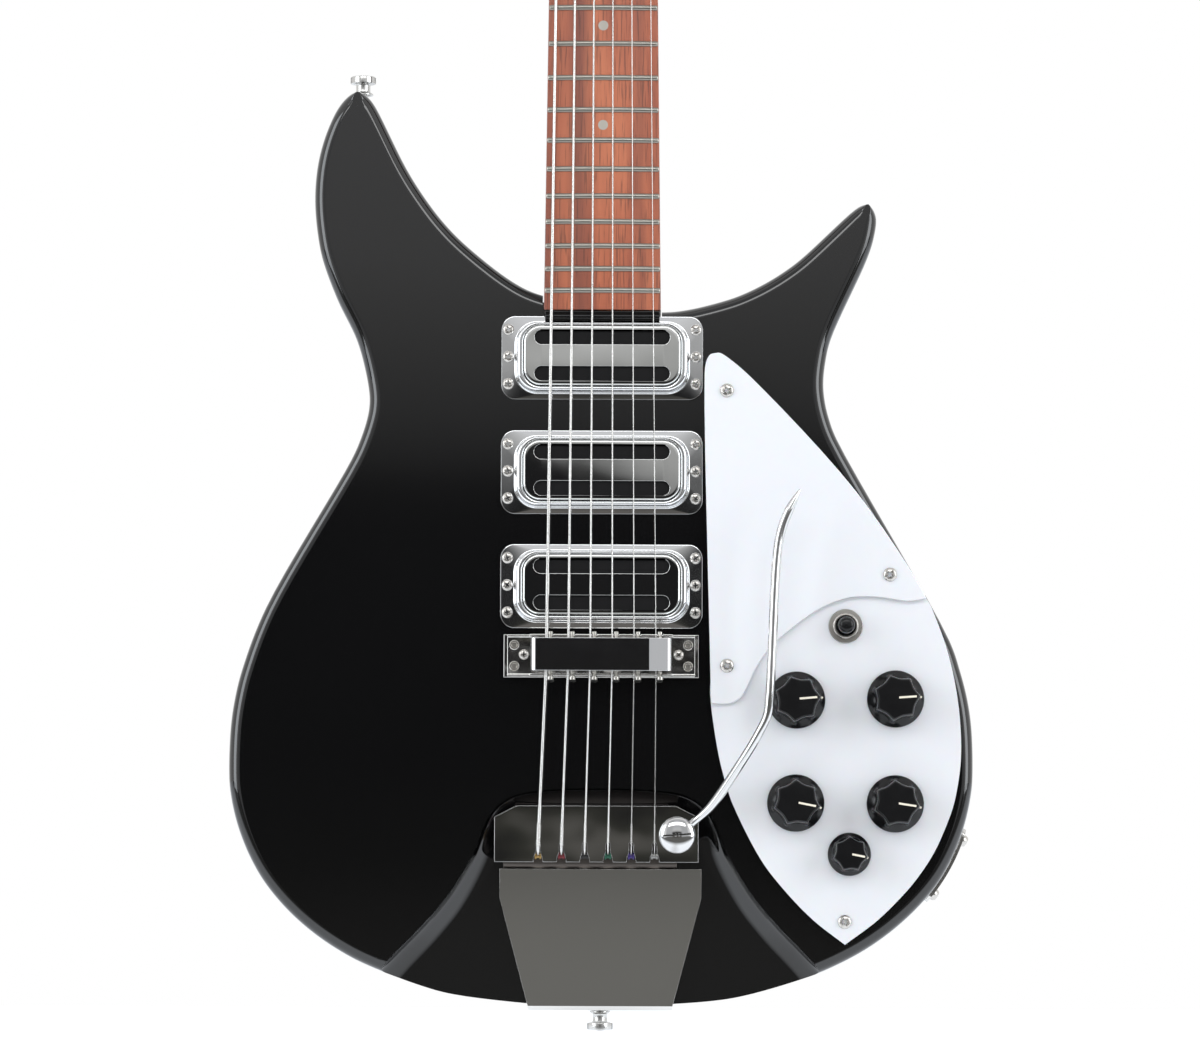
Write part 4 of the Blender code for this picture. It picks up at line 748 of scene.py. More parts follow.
plain_steel = wound_steel("plain_string", 0)
for number, radius in enumerate(STRING_RADII):
    label = 6 - number
    wound = number < 4
    steel = wound_steel("wound_string_%d" % label, 0.0005 * radius) if wound else plain_steel
    side, post_x, post_s = post_place(number)
    over_plate = PLATE_TOP + radius + 0.5
    x_tail = string_x(number, SPREAD_AT_TAIL) + TAIL_ASIDE
    x_saddle = string_x(number, SPREAD_AT_BRIDGE)
    x_nut = string_x(number, SPREAD_AT_NUT)
    z_saddle = string_z(number, SPREAD_AT_BRIDGE, ACTION_AT_BRIDGE)
    z_nut = string_z(number, SPREAD_AT_NUT, ACTION_AT_NUT)
    y_saddle = BRIDGE_Y - SADDLE_SETBACK[number]
    behind_saddle = Vector((x_saddle, y_saddle - 0.8, z_saddle - 0.1))
    at_lock = Vector((x_tail, BALL_Y + 4.4, over_plate))
    span = [tuple(at_lock.lerp(behind_saddle, k / 12)) for k in range(13)]
    speaking = [(x_saddle, y_saddle + 0.4, z_saddle), (x_nut, NUT_Y, z_nut),
                (x_nut, NUT_Y + NUT_THICK, z_nut - 0.1)]
    wrap = POST_RADIUS + radius
    route = [(x_tail, BALL_Y + 0.2, PLATE_TOP - 3.2), (x_tail, BALL_Y + 0.8, PLATE_TOP - 1.2),
             (x_tail, BALL_Y + 2.2, over_plate - 0.5)] + span + speaking
    route.append(head_point(post_x - side * wrap, post_s, WRAP_HEIGHT - 2.5 * radius))
    solids = [tube(route, [radius] * len(route), 10)]
    wire = min(max(radius * 0.42, 0.17), 0.26)
    along = (behind_saddle - at_lock).normalized()
    across = along.orthogonal().normalized()
    third = along.cross(across)
    lock = []
    for k in range(LOCK_TURNS * LOCK_STEPS + 1):
        outwards = Vector(circle(radius + wire * 0.4, LOCK_STEPS)[k % LOCK_STEPS])
        lock.append(tuple(at_lock + along * (k / LOCK_STEPS * LOCK_PITCH) + across * outwards.x
                          + third * outwards.y))
    solids.append(tube(lock, [wire] * len(lock), 6))
    string = made_of("string_wire_%d" % label, together(*solids))
    finished(string, steel)
    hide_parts("string_%d" % label)
    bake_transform(string)

    turns = []
    for k in range(53):
        angle = (math.pi if side > 0 else 0) - side * math.tau * k / 20
        turns.append(head_point(post_x + wrap * math.cos(angle), post_s + wrap * math.sin(angle),
                                WRAP_HEIGHT - 2.5 * radius + 5 * radius * k / 52))
    turns.append(head_point(post_x, post_s, WRAP_HEIGHT + 2.6 * radius))
    fit(made_of("string_turns_%d" % label, tube(turns, [radius] * len(turns), 8)),
        "tuner_post_%d" % label, "string_steel", steel)

    colour_name, colour = BALL_COLOURS[number]
    ball_metal = surface(colour_name + "_ball_end", colour, 0.3, 1.0 if number in (0, 5) else 0.4,
                         coat=0.5, patch=500.0)
    ball = turned([(0.8, -1.5), (1.4, -1.5), (1.6, -1.3), (1.6, -0.7), (1.15, -0.5), (1.15, 0.5),
                   (1.6, 0.7), (1.6, 1.3), (1.4, 1.5), (0.8, 1.5)], 24,
                  (x_tail, BALL_Y, PLATE_TOP - 3.4), (1, 0, 0))
    fit(creased(made_of("ball_end_%d" % label, ball), 40), "vibrato", "string_steel", ball_metal)

# Tuners. A nickelled strip screwed on each side of the headstock's back has three pairs of
# bearing lugs. Each key turns a worm between its lugs, and the worm turns the toothed
# wheel on its post's lower end.
TUNER_PLATE_THICK = 1.2
WHEEL_TEETH = 14
WHEEL_PITCH_RADIUS = 5.25
WHEEL_THICK = 3.0
WORM_PITCH_RADIUS = 2.75
TOOTH_ADDENDUM = 0.65
TOOTH_DEDENDUM = 0.9
TOOTH_WIDTH = 0.75
AXLE_HEIGHT = (HEAD_THICK + CLEARANCE + TUNER_PLATE_THICK + WORM_PITCH_RADIUS
               + TOOTH_ADDENDUM + 0.4)
STRIP_HALF_WIDTH = 8.5
STRIP_CORNER = 5.0
STRIP_PAST_POSTS = 17.0
STRIP_SCREWS = (36.5, 69, 109, 141.5)
LUG_SPAN = 12.4
LUG_THICK = 2.0
LUG_RADIUS = 3.0
THREAD_TURNS = 3
THREAD_STEPS = 60
KEY_SHAFT = 1.6
BUTTON = ((16.5, KEY_SHAFT, KEY_SHAFT), (17.4, 2.5, 2.5), (21.2, 5.2, 2.3), (25.0, 8.0, 3.2),
          (28.6, 7.6, 3.1), (31.6, 3.6, 1.6))


def round_rectangle(half_width, half_height, radius, corner=6, centre=(0, 0)):
    out = []
    for part, (sx, sy) in enumerate(((1, 1), (-1, 1), (-1, -1), (1, -1))):
        for k in range(corner + 1):
            angle = math.radians(90) * (part + k / corner)
            out.append((centre[0] + sx * (half_width - radius) + radius * math.cos(angle),
                        centre[1] + sy * (half_height - radius) + radius * math.sin(angle)))
    return out


def screw_head(name, radius, height, cross):
    """A domed head about its own z axis, with a cross or a single slot."""
    profile = [(radius * 0.96, -0.5), (radius, 0), (radius, height * 0.25),
               (radius * 0.93, height * 0.62), (radius * 0.7, height * 0.9),
               (radius * 0.35, height), (radius * 0.1, height)]
    made = made_of(name, turned(profile, 28), Matrix.Scale(MM, 4))
    arm = radius * (0.62 if cross else 1.2)
    wide = radius * (0.14 if cross else 0.13)
    blade = loft([at_height(rectangle(-arm * f, -wide, arm * f, wide), z)
                  for f, z in ((0.5 if cross else 1, -0.35), (1, height * 1.3))])
    cutters = [made_of(name + "_slot", blade, Matrix.Scale(MM, 4))]
    if cross:
        cutters.append(made_of(name + "_bar", blade, Matrix.Rotation(math.radians(90), 4, "Z")
                               @ Matrix.Scale(MM, 4)))
    return creased(carved(made, *cutters), 35)


def screw_tree(name, finish):
    """Screws on bare points, each turned at random about its own axis."""
    tree, add = new_tree(name, ("Head", "Object"), ("Tilt", "Vector"), ("Seed", "Int"))
    given = add("NodeGroupInput").outputs
    head = add("GeometryNodeObjectInfo", [("Object", given["Head"])]).outputs["Geometry"]
    any_turn = add("FunctionNodeRandomValue", [("Seed", given["Seed"]), (2, 0.0), (3, math.tau)],
                   data_type="FLOAT")
    spin = add("ShaderNodeCombineXYZ", [("Z", any_turn.outputs[1])]).outputs[0]
    local = add("FunctionNodeEulerToRotation", [(0, spin)]).outputs[0]
    whole = add("FunctionNodeEulerToRotation", [(0, given["Tilt"])]).outputs[0]
    both = add("FunctionNodeRotateRotation", [(0, whole), (1, local)],
               rotation_space="LOCAL").outputs[0]
    laid = add("GeometryNodeInstanceOnPoints", [("Points", given["Geometry"]), ("Instance", head),
                                                ("Rotation", both)])
    real = add("GeometryNodeRealizeInstances", [("Geometry", laid.outputs[0])])
    coated = add("GeometryNodeSetMaterial", [("Geometry", real.outputs[0]), ("Material", finish)])
    add("NodeGroupOutput", [(0, coated.outputs[0])])
    return tree


def screws(name, places, radius, height, body, seed, cross=True, place=STAND, tilt=(0, 0, 0)):
    """Screw heads seated at flat places, as one piece on its body."""
    head = screw_head(name + "_head", radius, height, cross)
    finish = surface(name + "_metal", (0.56, 0.54, 0.51), 0.26, 1.0, wear=0.08, patch=260.0,
                     grain=2800.0, relief=0.04)
    to_world = place.normalized()
    turn = (to_world.to_3x3() @ Matrix.Rotation(tilt[2], 3, "Z") @ Matrix.Rotation(
        tilt[1], 3, "Y") @ Matrix.Rotation(tilt[0], 3, "X")).to_euler()
    made = grown(name, screw_tree(name, finish), {"Head": head, "Tilt": tuple(turn), "Seed": seed},
                 moved(places, place), Matrix.Identity(4))
    bpy.data.objects.remove(head)
    return fit(creased(made, 35), body, "nickel", finish)


pitch = math.tau * WHEEL_PITCH_RADIUS / WHEEL_TEETH
centre_distance = WHEEL_PITCH_RADIUS + WORM_PITCH_RADIUS
lead = math.atan(pitch / (math.tau * WORM_PITCH_RADIUS))
plate_high = -HEAD_THICK - CLEARANCE
plate_low = plate_high - TUNER_PLATE_THICK
plate_middle = (POST_S[0] + POST_S[2]) / 2 + centre_distance / 2
plate_half = (POST_S[2] - POST_S[0]) / 2 + STRIP_PAST_POSTS
gear_brass = surface("gear_metal", (0.60, 0.57, 0.50), 0.27, 1.0, wear=0.09, patch=240.0,
                     grain=2400.0, relief=0.04)
for side, name in ((-1, "bass"), (1, "treble")):
    centre = side * POST_X
    sheet = made_of("tuner_strip_" + name,
                    prism(round_rectangle(STRIP_HALF_WIDTH, plate_half, STRIP_CORNER, 6,
                                          (centre, plate_middle)), plate_low, plate_high), HEAD)
    lug_outline = [(LUG_RADIUS, plate_low + 0.6)] + [
        (LUG_RADIUS * math.cos(a), -AXLE_HEIGHT - LUG_RADIUS * math.sin(a))
        for a in (math.pi * k / 14 for k in range(15))] + [(-LUG_RADIUS, plate_low + 0.6)]
    lugs = [loft([[(centre + (end * LUG_SPAN + side_of_lug * LUG_THICK) / 2,
                    s + centre_distance + y, z) for y, z in lug_outline]
                  for side_of_lug in (-1, 1)]) for s in POST_S for end in (-1, 1)]
    bores = [turned([(KEY_SHAFT + 0.15, -12), (KEY_SHAFT + 0.15, 12)], 20,
                    (centre, s + centre_distance, -AXLE_HEIGHT), (1, 0, 0)) for s in POST_S]
    bores += [prism(circle(POST_RADIUS + 0.25, 24, (centre, s)), plate_low - 1, plate_high + 1)
              for s in POST_S]
    sheet = carved(sheet, made_of("lugs", together(*lugs), HEAD), operation="UNION")
    sheet = carved(sheet, made_of("bores", together(*bores), HEAD))
    fit(softened(sheet, 0.25, 2, 50), "guitar", "nickel", nickel, "tuner_plate_" + name)
    spots = [(centre, s, plate_low) for s in STRIP_SCREWS]
    screws("tuner_screws_" + name, spots, 2.1, 1.1, "guitar", 11 + side, place=HEAD,
           tilt=(math.pi, 0, 0))

for number, radius in enumerate(STRING_RADII):
    label = 6 - number
    side, x, s = post_place(number)
    low = -AXLE_HEIGHT - WHEEL_THICK / 2
    high = -AXLE_HEIGHT + WHEEL_THICK / 2
    half_wrap = 3 * radius + 0.3
    post = turned([(POST_RADIUS, high - 0.5), (POST_RADIUS, WRAP_HEIGHT - half_wrap - 0.6),
                   (POST_RADIUS - 0.15, WRAP_HEIGHT - half_wrap),
                   (POST_RADIUS - 0.15, WRAP_HEIGHT + half_wrap),
                   (POST_RADIUS, WRAP_HEIGHT + half_wrap + 0.6), (POST_RADIUS, 11.3),
                   (2.8, 11.85), (2.3, 12.0), (1.5, 11.9), (1.1, 11.4)], 32, (x, s, 0))
    rings = []
    for share, shrink in ((0, 0.35), (0.12, 0), (0.5, 0), (0.88, 0), (1, 0.35)):
        slant = side * (0.5 - share) * WHEEL_THICK * math.tan(lead) / WHEEL_PITCH_RADIUS
        ring = []
        for tooth in range(WHEEL_TEETH):
            middle = math.radians(90) + math.tau * (tooth + 0.5) / WHEEL_TEETH + slant
            for reach, sign in ((-TOOTH_DEDENDUM, -1.25), (-0.1, -1), (TOOTH_ADDENDUM - 0.1, -0.8),
                                (TOOTH_ADDENDUM, -0.45), (TOOTH_ADDENDUM, 0.45),
                                (TOOTH_ADDENDUM - 0.1, 0.8), (-0.1, 1), (-TOOTH_DEDENDUM, 1.25)):
                gear_radius = WHEEL_PITCH_RADIUS + reach - shrink
                angle = middle + sign * TOOTH_WIDTH / 2 / gear_radius
                ring.append((x + gear_radius * math.cos(angle), s + gear_radius * math.sin(angle),
                             low + (high - low) * share))
        rings.append(ring)
    made = creased(made_of("post_and_wheel_%d" % label, together(post, loft(rings)), HEAD), 30)
    fit(made, "tuner_post_%d" % label, "nickel", gear_brass, "tuner_post_%d" % label)
    screws("wheel_screw_%d" % label, [(x, s, low)], 2.6, 1.1, "tuner_post_%d" % label, 20 + label,
           cross=False, place=HEAD, tilt=(math.pi, 0, 0))

    core = WORM_PITCH_RADIUS - TOOTH_DEDENDUM
    crest = WORM_PITCH_RADIUS + TOOTH_ADDENDUM
    inner = LUG_SPAN / 2 - LUG_THICK / 2 - CLEARANCE
    shaft = turned([(1.2, -8.2), (KEY_SHAFT, -7.8), (KEY_SHAFT, -inner), (core, -inner),
                    (core, inner), (KEY_SHAFT, inner), (KEY_SHAFT, BUTTON[0][0])], 24)
    thread = []
    for k in range(THREAD_STEPS + 1):
        turns = (k - THREAD_STEPS / 2) / THREAD_STEPS * THREAD_TURNS
        turn = math.tau * turns
        rise = pitch * turns
        fade = min(1.0, k / 8, (THREAD_STEPS - k) / 8) * 0.85 + 0.15
        thread.append([(r * math.cos(turn), r * math.sin(turn), rise + h) for r, h in
                       ((core - 0.2, -0.66), (core + (crest - core) * fade, -0.27),
                        (core + (crest - core) * fade, 0.27), (core - 0.2, 0.66))])
    button = []
    stations = curve_through(BUTTON, 4) + [(31.95, 2.4, 1.0), (32.1, 0.9, 0.4)]
    for h, wide, thick in stations:
        button.append([(wide * math.copysign(abs(math.cos(a)) ** 0.85, math.cos(a)),
                        thick * math.copysign(abs(math.sin(a)) ** 0.85, math.sin(a)), h)
                       for a in (math.tau * k / 32 for k in range(32))])
    lay = Matrix(((0, 0, side, x), (-1, 0, 0, s + centre_distance), (0, 1, 0, -AXLE_HEIGHT),
                  (0, 0, 0, 1)))
    key = made_of("key_and_worm_%d" % label, together(shaft, loft(thread), loft(button)),
                  HEAD @ lay)
    fit(creased(key, 35), "tuner_key_%d" % label, "nickel", nickel, "tuner_key_%d" % label)

# Pickups. Each is a pressed chrome bezel held by six screws, with a raised round collar; a
# chromed cover with two long slots stands in it over the black coil pack.
PICKUP_Y = (277.6, 228.3, 179.3)
BEZEL = (43.3, 18.0)
COVER = (33.6, 12.5)
COVER_CORNER = 7.3
COVER_ASIDE = 0.4
COVER_EDGE = 0.9
COVER_TOP = 26.0
SLOT_HALF_LENGTH = 29.0
SLOT_HALF_WIDTH = 3.1
SLOT_AT = 7.8
SHEET = 1.2
BEZEL_SCREW = (40.3, 11.7)


def plated(name, colour, roughness, ripple, ripple_size, wear=0.015, twist=0.0, middle=0.0):
    """Chrome over a pressed sheet that isn't quite flat, with a faint haze in patches."""
    made = surface(name, colour, roughness, 1.0, wear=wear, patch=140.0, grain=1100.0,
                   relief=0.0015)
    add = adder(made.node_tree)
    place = made.node_tree.nodes["Texture Coordinate"].outputs["Object"]
    wander = add("ShaderNodeTexNoise", [("Vector", place), ("Scale", ripple_size),
                                        ("Detail", 1.5)])
    embossed(made, wander.outputs["Fac"], ripple)
    if twist:
        apart = add("ShaderNodeSeparateXYZ", [("Vector", place)]).outputs
        along = arithmetic(add, "SUBTRACT", apart["Z"], middle * MM)
        embossed(made, arithmetic(add, "MULTIPLY", apart["X"], along), twist)
    return made


bezel_chrome = plated("bezel_chrome", (0.78, 0.79, 0.80), 0.07, 0.0001, 28.0, wear=0.02)
coil_black = surface("coil_black", (0.003, 0.003, 0.0035), 0.5, wear=0.1, patch=200.0,
                     grain=1800.0, relief=0.05)
feed(shader_of(coil_black), [("Specular IOR Level", 0.2)])
seat = FACE + CLEARANCE
sections = [(BEZEL[0] + dx, BEZEL[1] + dy, r, z, 0) for dx, dy, r, z in (
    (-0.25, -0.25, 5.9, 0), (0, 0, 6, 0.3), (0, 0, 6, SHEET - 0.35),
    (-0.1, -0.1, 5.95, SHEET - 0.1), (-0.35, -0.35, 5.8, SHEET), (-5.5, -2.2, 9.8, SHEET),
    (-5.9, -2.6, 9.5, SHEET + 0.12), (-6.15, -2.85, 9.3, SHEET + 0.4))]
for bend in quarter(6):
    reach = 1.75 * (1 - math.cos(bend))
    shift = COVER_ASIDE * bend / math.radians(90)
    sections.append((BEZEL[0] - 6.45 - reach, BEZEL[1] - 3.1 - reach * 0.75 + shift,
                     9.1 - reach * 0.5, 4.1 + 2.3 * math.sin(bend), shift))
cover_half_y = COVER[1] + COVER_ASIDE
sections += [(COVER[0] + gap, cover_half_y + gap, COVER_CORNER + gap, z, COVER_ASIDE)
             for gap, z in ((0.75, 6.4), (0.4, 6.15), (0.25, 5.7), (0.25, 0))]


def cover_ring(y, less):
    """The cover's outline around a place along the neck, moved inwards."""
    return round_rectangle(COVER[0] - less, cover_half_y - less, COVER_CORNER - less, 12, (0, y))


for number, y in enumerate(PICKUP_Y, 1):
    rings = [at_height(round_rectangle(half_x, half_y, r, 12, (0, y + shift)), seat + z)
             for half_x, half_y, r, z, shift in sections]
    y += COVER_ASIDE
    bezel = made_of("bezel_%d" % number, loft(rings, closed=True))
    fit(creased(bezel, 40), "guitar", "chrome", bezel_chrome, "pickup_bezel_%d" % number)

    cover_chrome = plated("cover_chrome_%d" % number, (0.77, 0.78, 0.77), 0.03, 0.00016, 26.0,
                          twist=(0.0, -0.25, 0.0)[number - 1], middle=y)
    bottom = FACE - 6
    steps = [(0.8, bottom), (0, bottom)]
    steps += [(COVER_EDGE * (1 - math.cos(bend)), COVER_TOP - COVER_EDGE * (1 - math.sin(bend)))
              for bend in quarter(6)]
    steps.append((1.8, COVER_TOP))
    cover = made_of("cover_%d" % number, loft([at_height(cover_ring(y, less), z)
                                               for less, z in steps]))
    hollow = prism(cover_ring(y, 0.8), bottom - 1, COVER_TOP - 0.9)
    cover = carved(cover, made_of("cover_hollow", hollow))
    slots = [prism(round_rectangle(SLOT_HALF_LENGTH, SLOT_HALF_WIDTH, SLOT_HALF_WIDTH - 0.01, 12,
                                   (0, y + end * SLOT_AT)), COVER_TOP - 3, COVER_TOP + 1)
             for end in (-1, 1)]
    cover = carved(cover, made_of("cover_slots", together(*slots)))
    cover = softened(cover, 0.45, 3, 40)
    fit(cover, "guitar", "chrome", cover_chrome, "pickup_cover_%d" % number)

    finished(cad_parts["pickup_coil_%d" % number], coil_black)
    spots = [(side * BEZEL_SCREW[0], y + up * BEZEL_SCREW[1], seat + SHEET)
             for side in (-1, 1) for up in (-1, 0, 1)]
    screws("bezel_screws_%d" % number, spots, 2.45, 1.15, "guitar", 30 + number)

# Black strip. The lacquered wooden lip at the end of the neck, one with it; it laps over the
# upper edge of the first bezel.
STRIP_HALF_LENGTH = 24.6

strip_profile = [(293.25, 19.35), (297.3, 19.35), (297.3, 25.2), (295.6, 25.2), (295.0, 24.9),
                 (294.7, 24.2), (294.7, 22.9), (294.4, 22.5), (293.25, 22.4)]
strip = made_of("neck_end_strip", loft([[(x, y, z) for y, z in strip_profile]
                                        for x in (-STRIP_HALF_LENGTH, STRIP_HALF_LENGTH)]))
fit(softened(strip, 0.5, 3, 30), "guitar", "black_lacquer", lacquer)

# Bridge. A folded chrome tray on four height posts, held by two screws, with six saddles on
# long screws; a chrome cover bent down at both sides hides them.
BRIDGE_Y0 = 149.4
TRAY_HALF = (41.7, 9.2)
TRAY_FLOOR = FACE + 4.3
TRAY_WALL_TOP = FACE + 11.0
WALL_OUT = 0.3
WALL_IN = 1.3
NOTCH_RADIUS = 1.05
SADDLE_HALF = (3.85, 3.2)
SHANK_RADIUS = 0.78
SADDLE_SCREW_Z = FACE + 9.0
SCREW_OFFSET = 1.7
HEIGHT_POST = (37.1, 4.5)
COVER_HALF_WIDTH = 28.6
BRIDGE_COVER_CEILING = FACE + 18.0
BRIDGE_COVER_HALF_DEPTH = 7.0
BEND = 2.1
EASE = (20.0, 0.7)

bridge_chrome = plated("bridge_chrome", (0.79, 0.79, 0.80), 0.05, 0.00003, 60.0, wear=0.02)
tray_chrome = plated("tray_chrome", (0.74, 0.73, 0.71), 0.09, 0.0006, 60.0, wear=0.06)
half_x, half_y = TRAY_HALF
outside, inside = half_y - WALL_OUT, half_y - WALL_IN
tray_profile = [(-outside, TRAY_FLOOR - SHEET), (outside, TRAY_FLOOR - SHEET),
                (outside, TRAY_WALL_TOP), (inside, TRAY_WALL_TOP), (inside, TRAY_FLOOR),
                (-inside, TRAY_FLOOR), (-inside, TRAY_WALL_TOP), (-outside, TRAY_WALL_TOP)]
tray = made_of("bridge_tray", loft([[(x, BRIDGE_Y0 + y, z) for y, z in tray_profile]
                                    for x in (-half_x + 1.6, half_x - 1.6)]))
cuts = []
for number in range(6):
    x = string_x(number, SPREAD_AT_BRIDGE) + SCREW_OFFSET
    notch = [(x - NOTCH_RADIUS, TRAY_WALL_TOP + 2)] + [
        (x - NOTCH_RADIUS * math.cos(a), SADDLE_SCREW_Z - NOTCH_RADIUS * math.sin(a))
        for a in (math.pi * k / 8 for k in range(9))] + [(x + NOTCH_RADIUS, TRAY_WALL_TOP + 2)]
    cuts.append(loft([[(px, BRIDGE_Y0 + y, pz) for px, pz in notch] for y in (-12, 12)]))
step_x = COVER_HALF_WIDTH + 1.9
for low_x in (step_x, -step_x - half_x):
    cuts.append(prism(rectangle(low_x, BRIDGE_Y0 - 12, low_x + half_x, BRIDGE_Y0 + 12),
                      TRAY_FLOOR + 1.6, TRAY_WALL_TOP + 2))
tray = carved(tray, made_of("tray_cuts", together(*cuts)))
tray = softened(tray, 0.22, 2, 45)
foot = softened(made_of("bridge_foot", prism(
    rectangle(-half_x, BRIDGE_Y0 - half_y, half_x, BRIDGE_Y0 + half_y), seat, seat + 1)), 0.25, 2)
fit(foot, "guitar", "chrome", tray_chrome)
fit(tray, "guitar", "chrome", tray_chrome, "bridge_base")
posts_at = [(sx * HEIGHT_POST[0], BRIDGE_Y0 + sy * HEIGHT_POST[1]) for sx in (-1, 1)
            for sy in (-1, 1)]
columns = [turned([(1.9, seat + 0.4), (1.9, TRAY_FLOOR - 0.3), (1.9, TRAY_FLOOR + 0.3)], 24,
                  (px, py, 0)) for px, py in posts_at]
fit(creased(made_of("height_posts", together(*columns))), "guitar", "nickel", nickel)
ends = [turned([(2.1, TRAY_FLOOR - 0.3), (2.1, TRAY_FLOOR + 0.4), (1.85, TRAY_FLOOR + 0.6),
                (1.25, TRAY_FLOOR + 0.6), (1.05, TRAY_FLOOR + 0.2), (0.2, TRAY_FLOOR + 0.2)], 32,
               (px, py, 0)) for px, py in posts_at]
fit(creased(made_of("height_post_ends", together(*ends)), 25), "guitar", "nickel", nickel)
screws("bridge_screws", [(-33, BRIDGE_Y0 + 0.4, TRAY_FLOOR), (33, BRIDGE_Y0 + 0.4, TRAY_FLOOR)],
       2.2, 1.3, "guitar", 42)

saddle_nickel = surface("saddle_nickel", (0.60, 0.58, 0.54), 0.28, 1.0, wear=0.1, patch=260.0,
                        grain=2200.0, relief=0.05)
for number, radius in enumerate(STRING_RADII):
    x = string_x(number, SPREAD_AT_BRIDGE)
    y = BRIDGE_Y - SADDLE_SETBACK[number]
    top = string_z(number, SPREAD_AT_BRIDGE, ACTION_AT_BRIDGE) - radius - 0.02
    low = TRAY_FLOOR + 0.3
    half_wide, half_long = SADDLE_HALF
    ridge = [(y - half_long, low), (y + half_long, low), (y + half_long, top - 1.2),
             (y + 0.5, top), (y - 0.5, top), (y - half_long, top - 1.2)]
    block = softened(made_of("saddle_block_%d" % (6 - number), loft(
        [[(px, py, pz) for py, pz in ridge] for px in (x - half_wide, x + half_wide)])), 0.3, 2)
    fit(block, "guitar", "nickel", saddle_nickel, "saddle_%d" % (6 - number))
    front, rear = BRIDGE_Y0 + half_y, BRIDGE_Y0 - half_y
    on_axis = (x + SCREW_OFFSET, 0, SADDLE_SCREW_Z)
    halves = [turned(profile, 20, on_axis, (0, 1, 0)) for profile in (
        [(1.0, y - 3), (SHANK_RADIUS, y - 2), (SHANK_RADIUS, front - 0.15), (1.0, front - 0.1),
         (1.0, front + 0.7), (0.7, front + 0.95)],
        [(0.9, rear - 1.5), (1.4, rear - 1.2), (1.4, rear - 0.1), (SHANK_RADIUS, rear - 0.1),
         (SHANK_RADIUS, y - 3)])]
    screw = creased(made_of("saddle_screw_%d" % (6 - number), together(*halves)))
    fit(screw, "guitar", "nickel", saddle_nickel)

outer = COVER_HALF_WIDTH + SHEET
top = BRIDGE_COVER_CEILING + SHEET
arc = quarter(8)
profile = [(outer, TRAY_FLOOR + 0.3)]
profile += [(outer - BEND + BEND * math.cos(a), top - EASE[1] - BEND + BEND * math.sin(a))
            for a in arc]
profile += [(EASE[0] + 0.5, top - 0.04), (EASE[0], top)]
profile += [(-outer + BEND - BEND * math.sin(a), top - BEND + BEND * math.cos(a)) for a in arc]
profile += [(-outer, TRAY_FLOOR + 0.3), (-COVER_HALF_WIDTH, TRAY_FLOOR + 0.3)]
inner_bend = BEND - SHEET
profile += [(-COVER_HALF_WIDTH + inner_bend - inner_bend * math.cos(a),
             BRIDGE_COVER_CEILING - inner_bend + inner_bend * math.sin(a)) for a in arc]
profile.append((EASE[0], BRIDGE_COVER_CEILING))
profile += [(COVER_HALF_WIDTH - inner_bend + inner_bend * math.sin(a), BRIDGE_COVER_CEILING
             - EASE[1] - inner_bend + inner_bend * math.cos(a)) for a in arc]
profile.append((COVER_HALF_WIDTH, TRAY_FLOOR + 0.3))
hood = made_of("bridge_hood", loft([[(x, y, z) for x, z in profile]
                                    for y in (BRIDGE_Y0 - BRIDGE_COVER_HALF_DEPTH,
                                              BRIDGE_Y0 + BRIDGE_COVER_HALF_DEPTH)]))
fit(softened(hood, 0.2, 2, 40), "guitar", "chrome", bridge_chrome, "bridge_cover")

# Tailpiece. A chrome base with skirts lies over the scoop, folds down the tail and holds a
# leaf spring; the spring carries the string plate, which rocks when the arm is moved.
COVER_EDGE_Y = 58.6
TAIL_HALF_WIDTH = 43.0
COVER_TOP_Z = PLATE_TOP - 5.2
SKIRT = 4.8
FOLD = 2.0
FOLD_DEPTH = 1.6
FOLD_HALF_WIDTH = 30.9
SLOPE_SHARE = 0.79
ROCK_Y = 58.0
SPRING_TOP = PLATE_TOP - 6.5
SPRING_THICK = 1.1
SPRING_DROP = 1.9
ARM_PIVOT = (32.6, 73.1)
STRING_PLATE_THICK = 1.5
STRING_NOTCH = ((2.1, 60.0), (2.0, 61.6), (1.8, 63.4), (1.25, 65.0), (0.95, 66.4), (0.95, 69.2),
                (0.5, 70.0))
ARM_HOLE = 3.3
STRING_PLATE = tuple((x + TAIL_ASIDE, y) for x, y in (
    (-43.4, 61.5), (43.4, 61.5), (43.4, 80.6), (34, 85.4), (-34, 85.4), (-43.4, 80.6)))

tail_chrome = plated("tail_chrome", (0.78, 0.77, 0.75), 0.07, 0.00002, 30.0, wear=0.03)
tail_z = FACE - SCOOP_DEPTH_AT_TAIL + CLEARANCE + SKIRT
face_y = -CLEARANCE - SHEET
stations = [(COVER_EDGE_Y, COVER_TOP_Z, TAIL_HALF_WIDTH, SKIRT, 0)]
for share in (SLOPE_SHARE, 0.4, 0):
    y = FOLD + face_y + (COVER_EDGE_Y - FOLD - face_y) * share
    part = share / SLOPE_SHARE
    stations.append((y, tail_z + (COVER_TOP_Z - tail_z) * share,
                     FOLD_HALF_WIDTH + (TAIL_HALF_WIDTH - FOLD_HALF_WIDTH) * part,
                     SKIRT * (0.9 + 0.1 * part), 0))
stations += [(face_y + FOLD * (1 - math.sin(angle)), tail_z - FOLD * (1 - math.cos(angle)),
              FOLD_HALF_WIDTH, FOLD_DEPTH, angle) for angle in quarter(8)[1:]]
stations += [(face_y, z, wide, FOLD_DEPTH, math.radians(90))
             for z, wide in ((-6.8, 28.9), (-9.6, 26.2), (-10.5, 24.0))]
rings = []
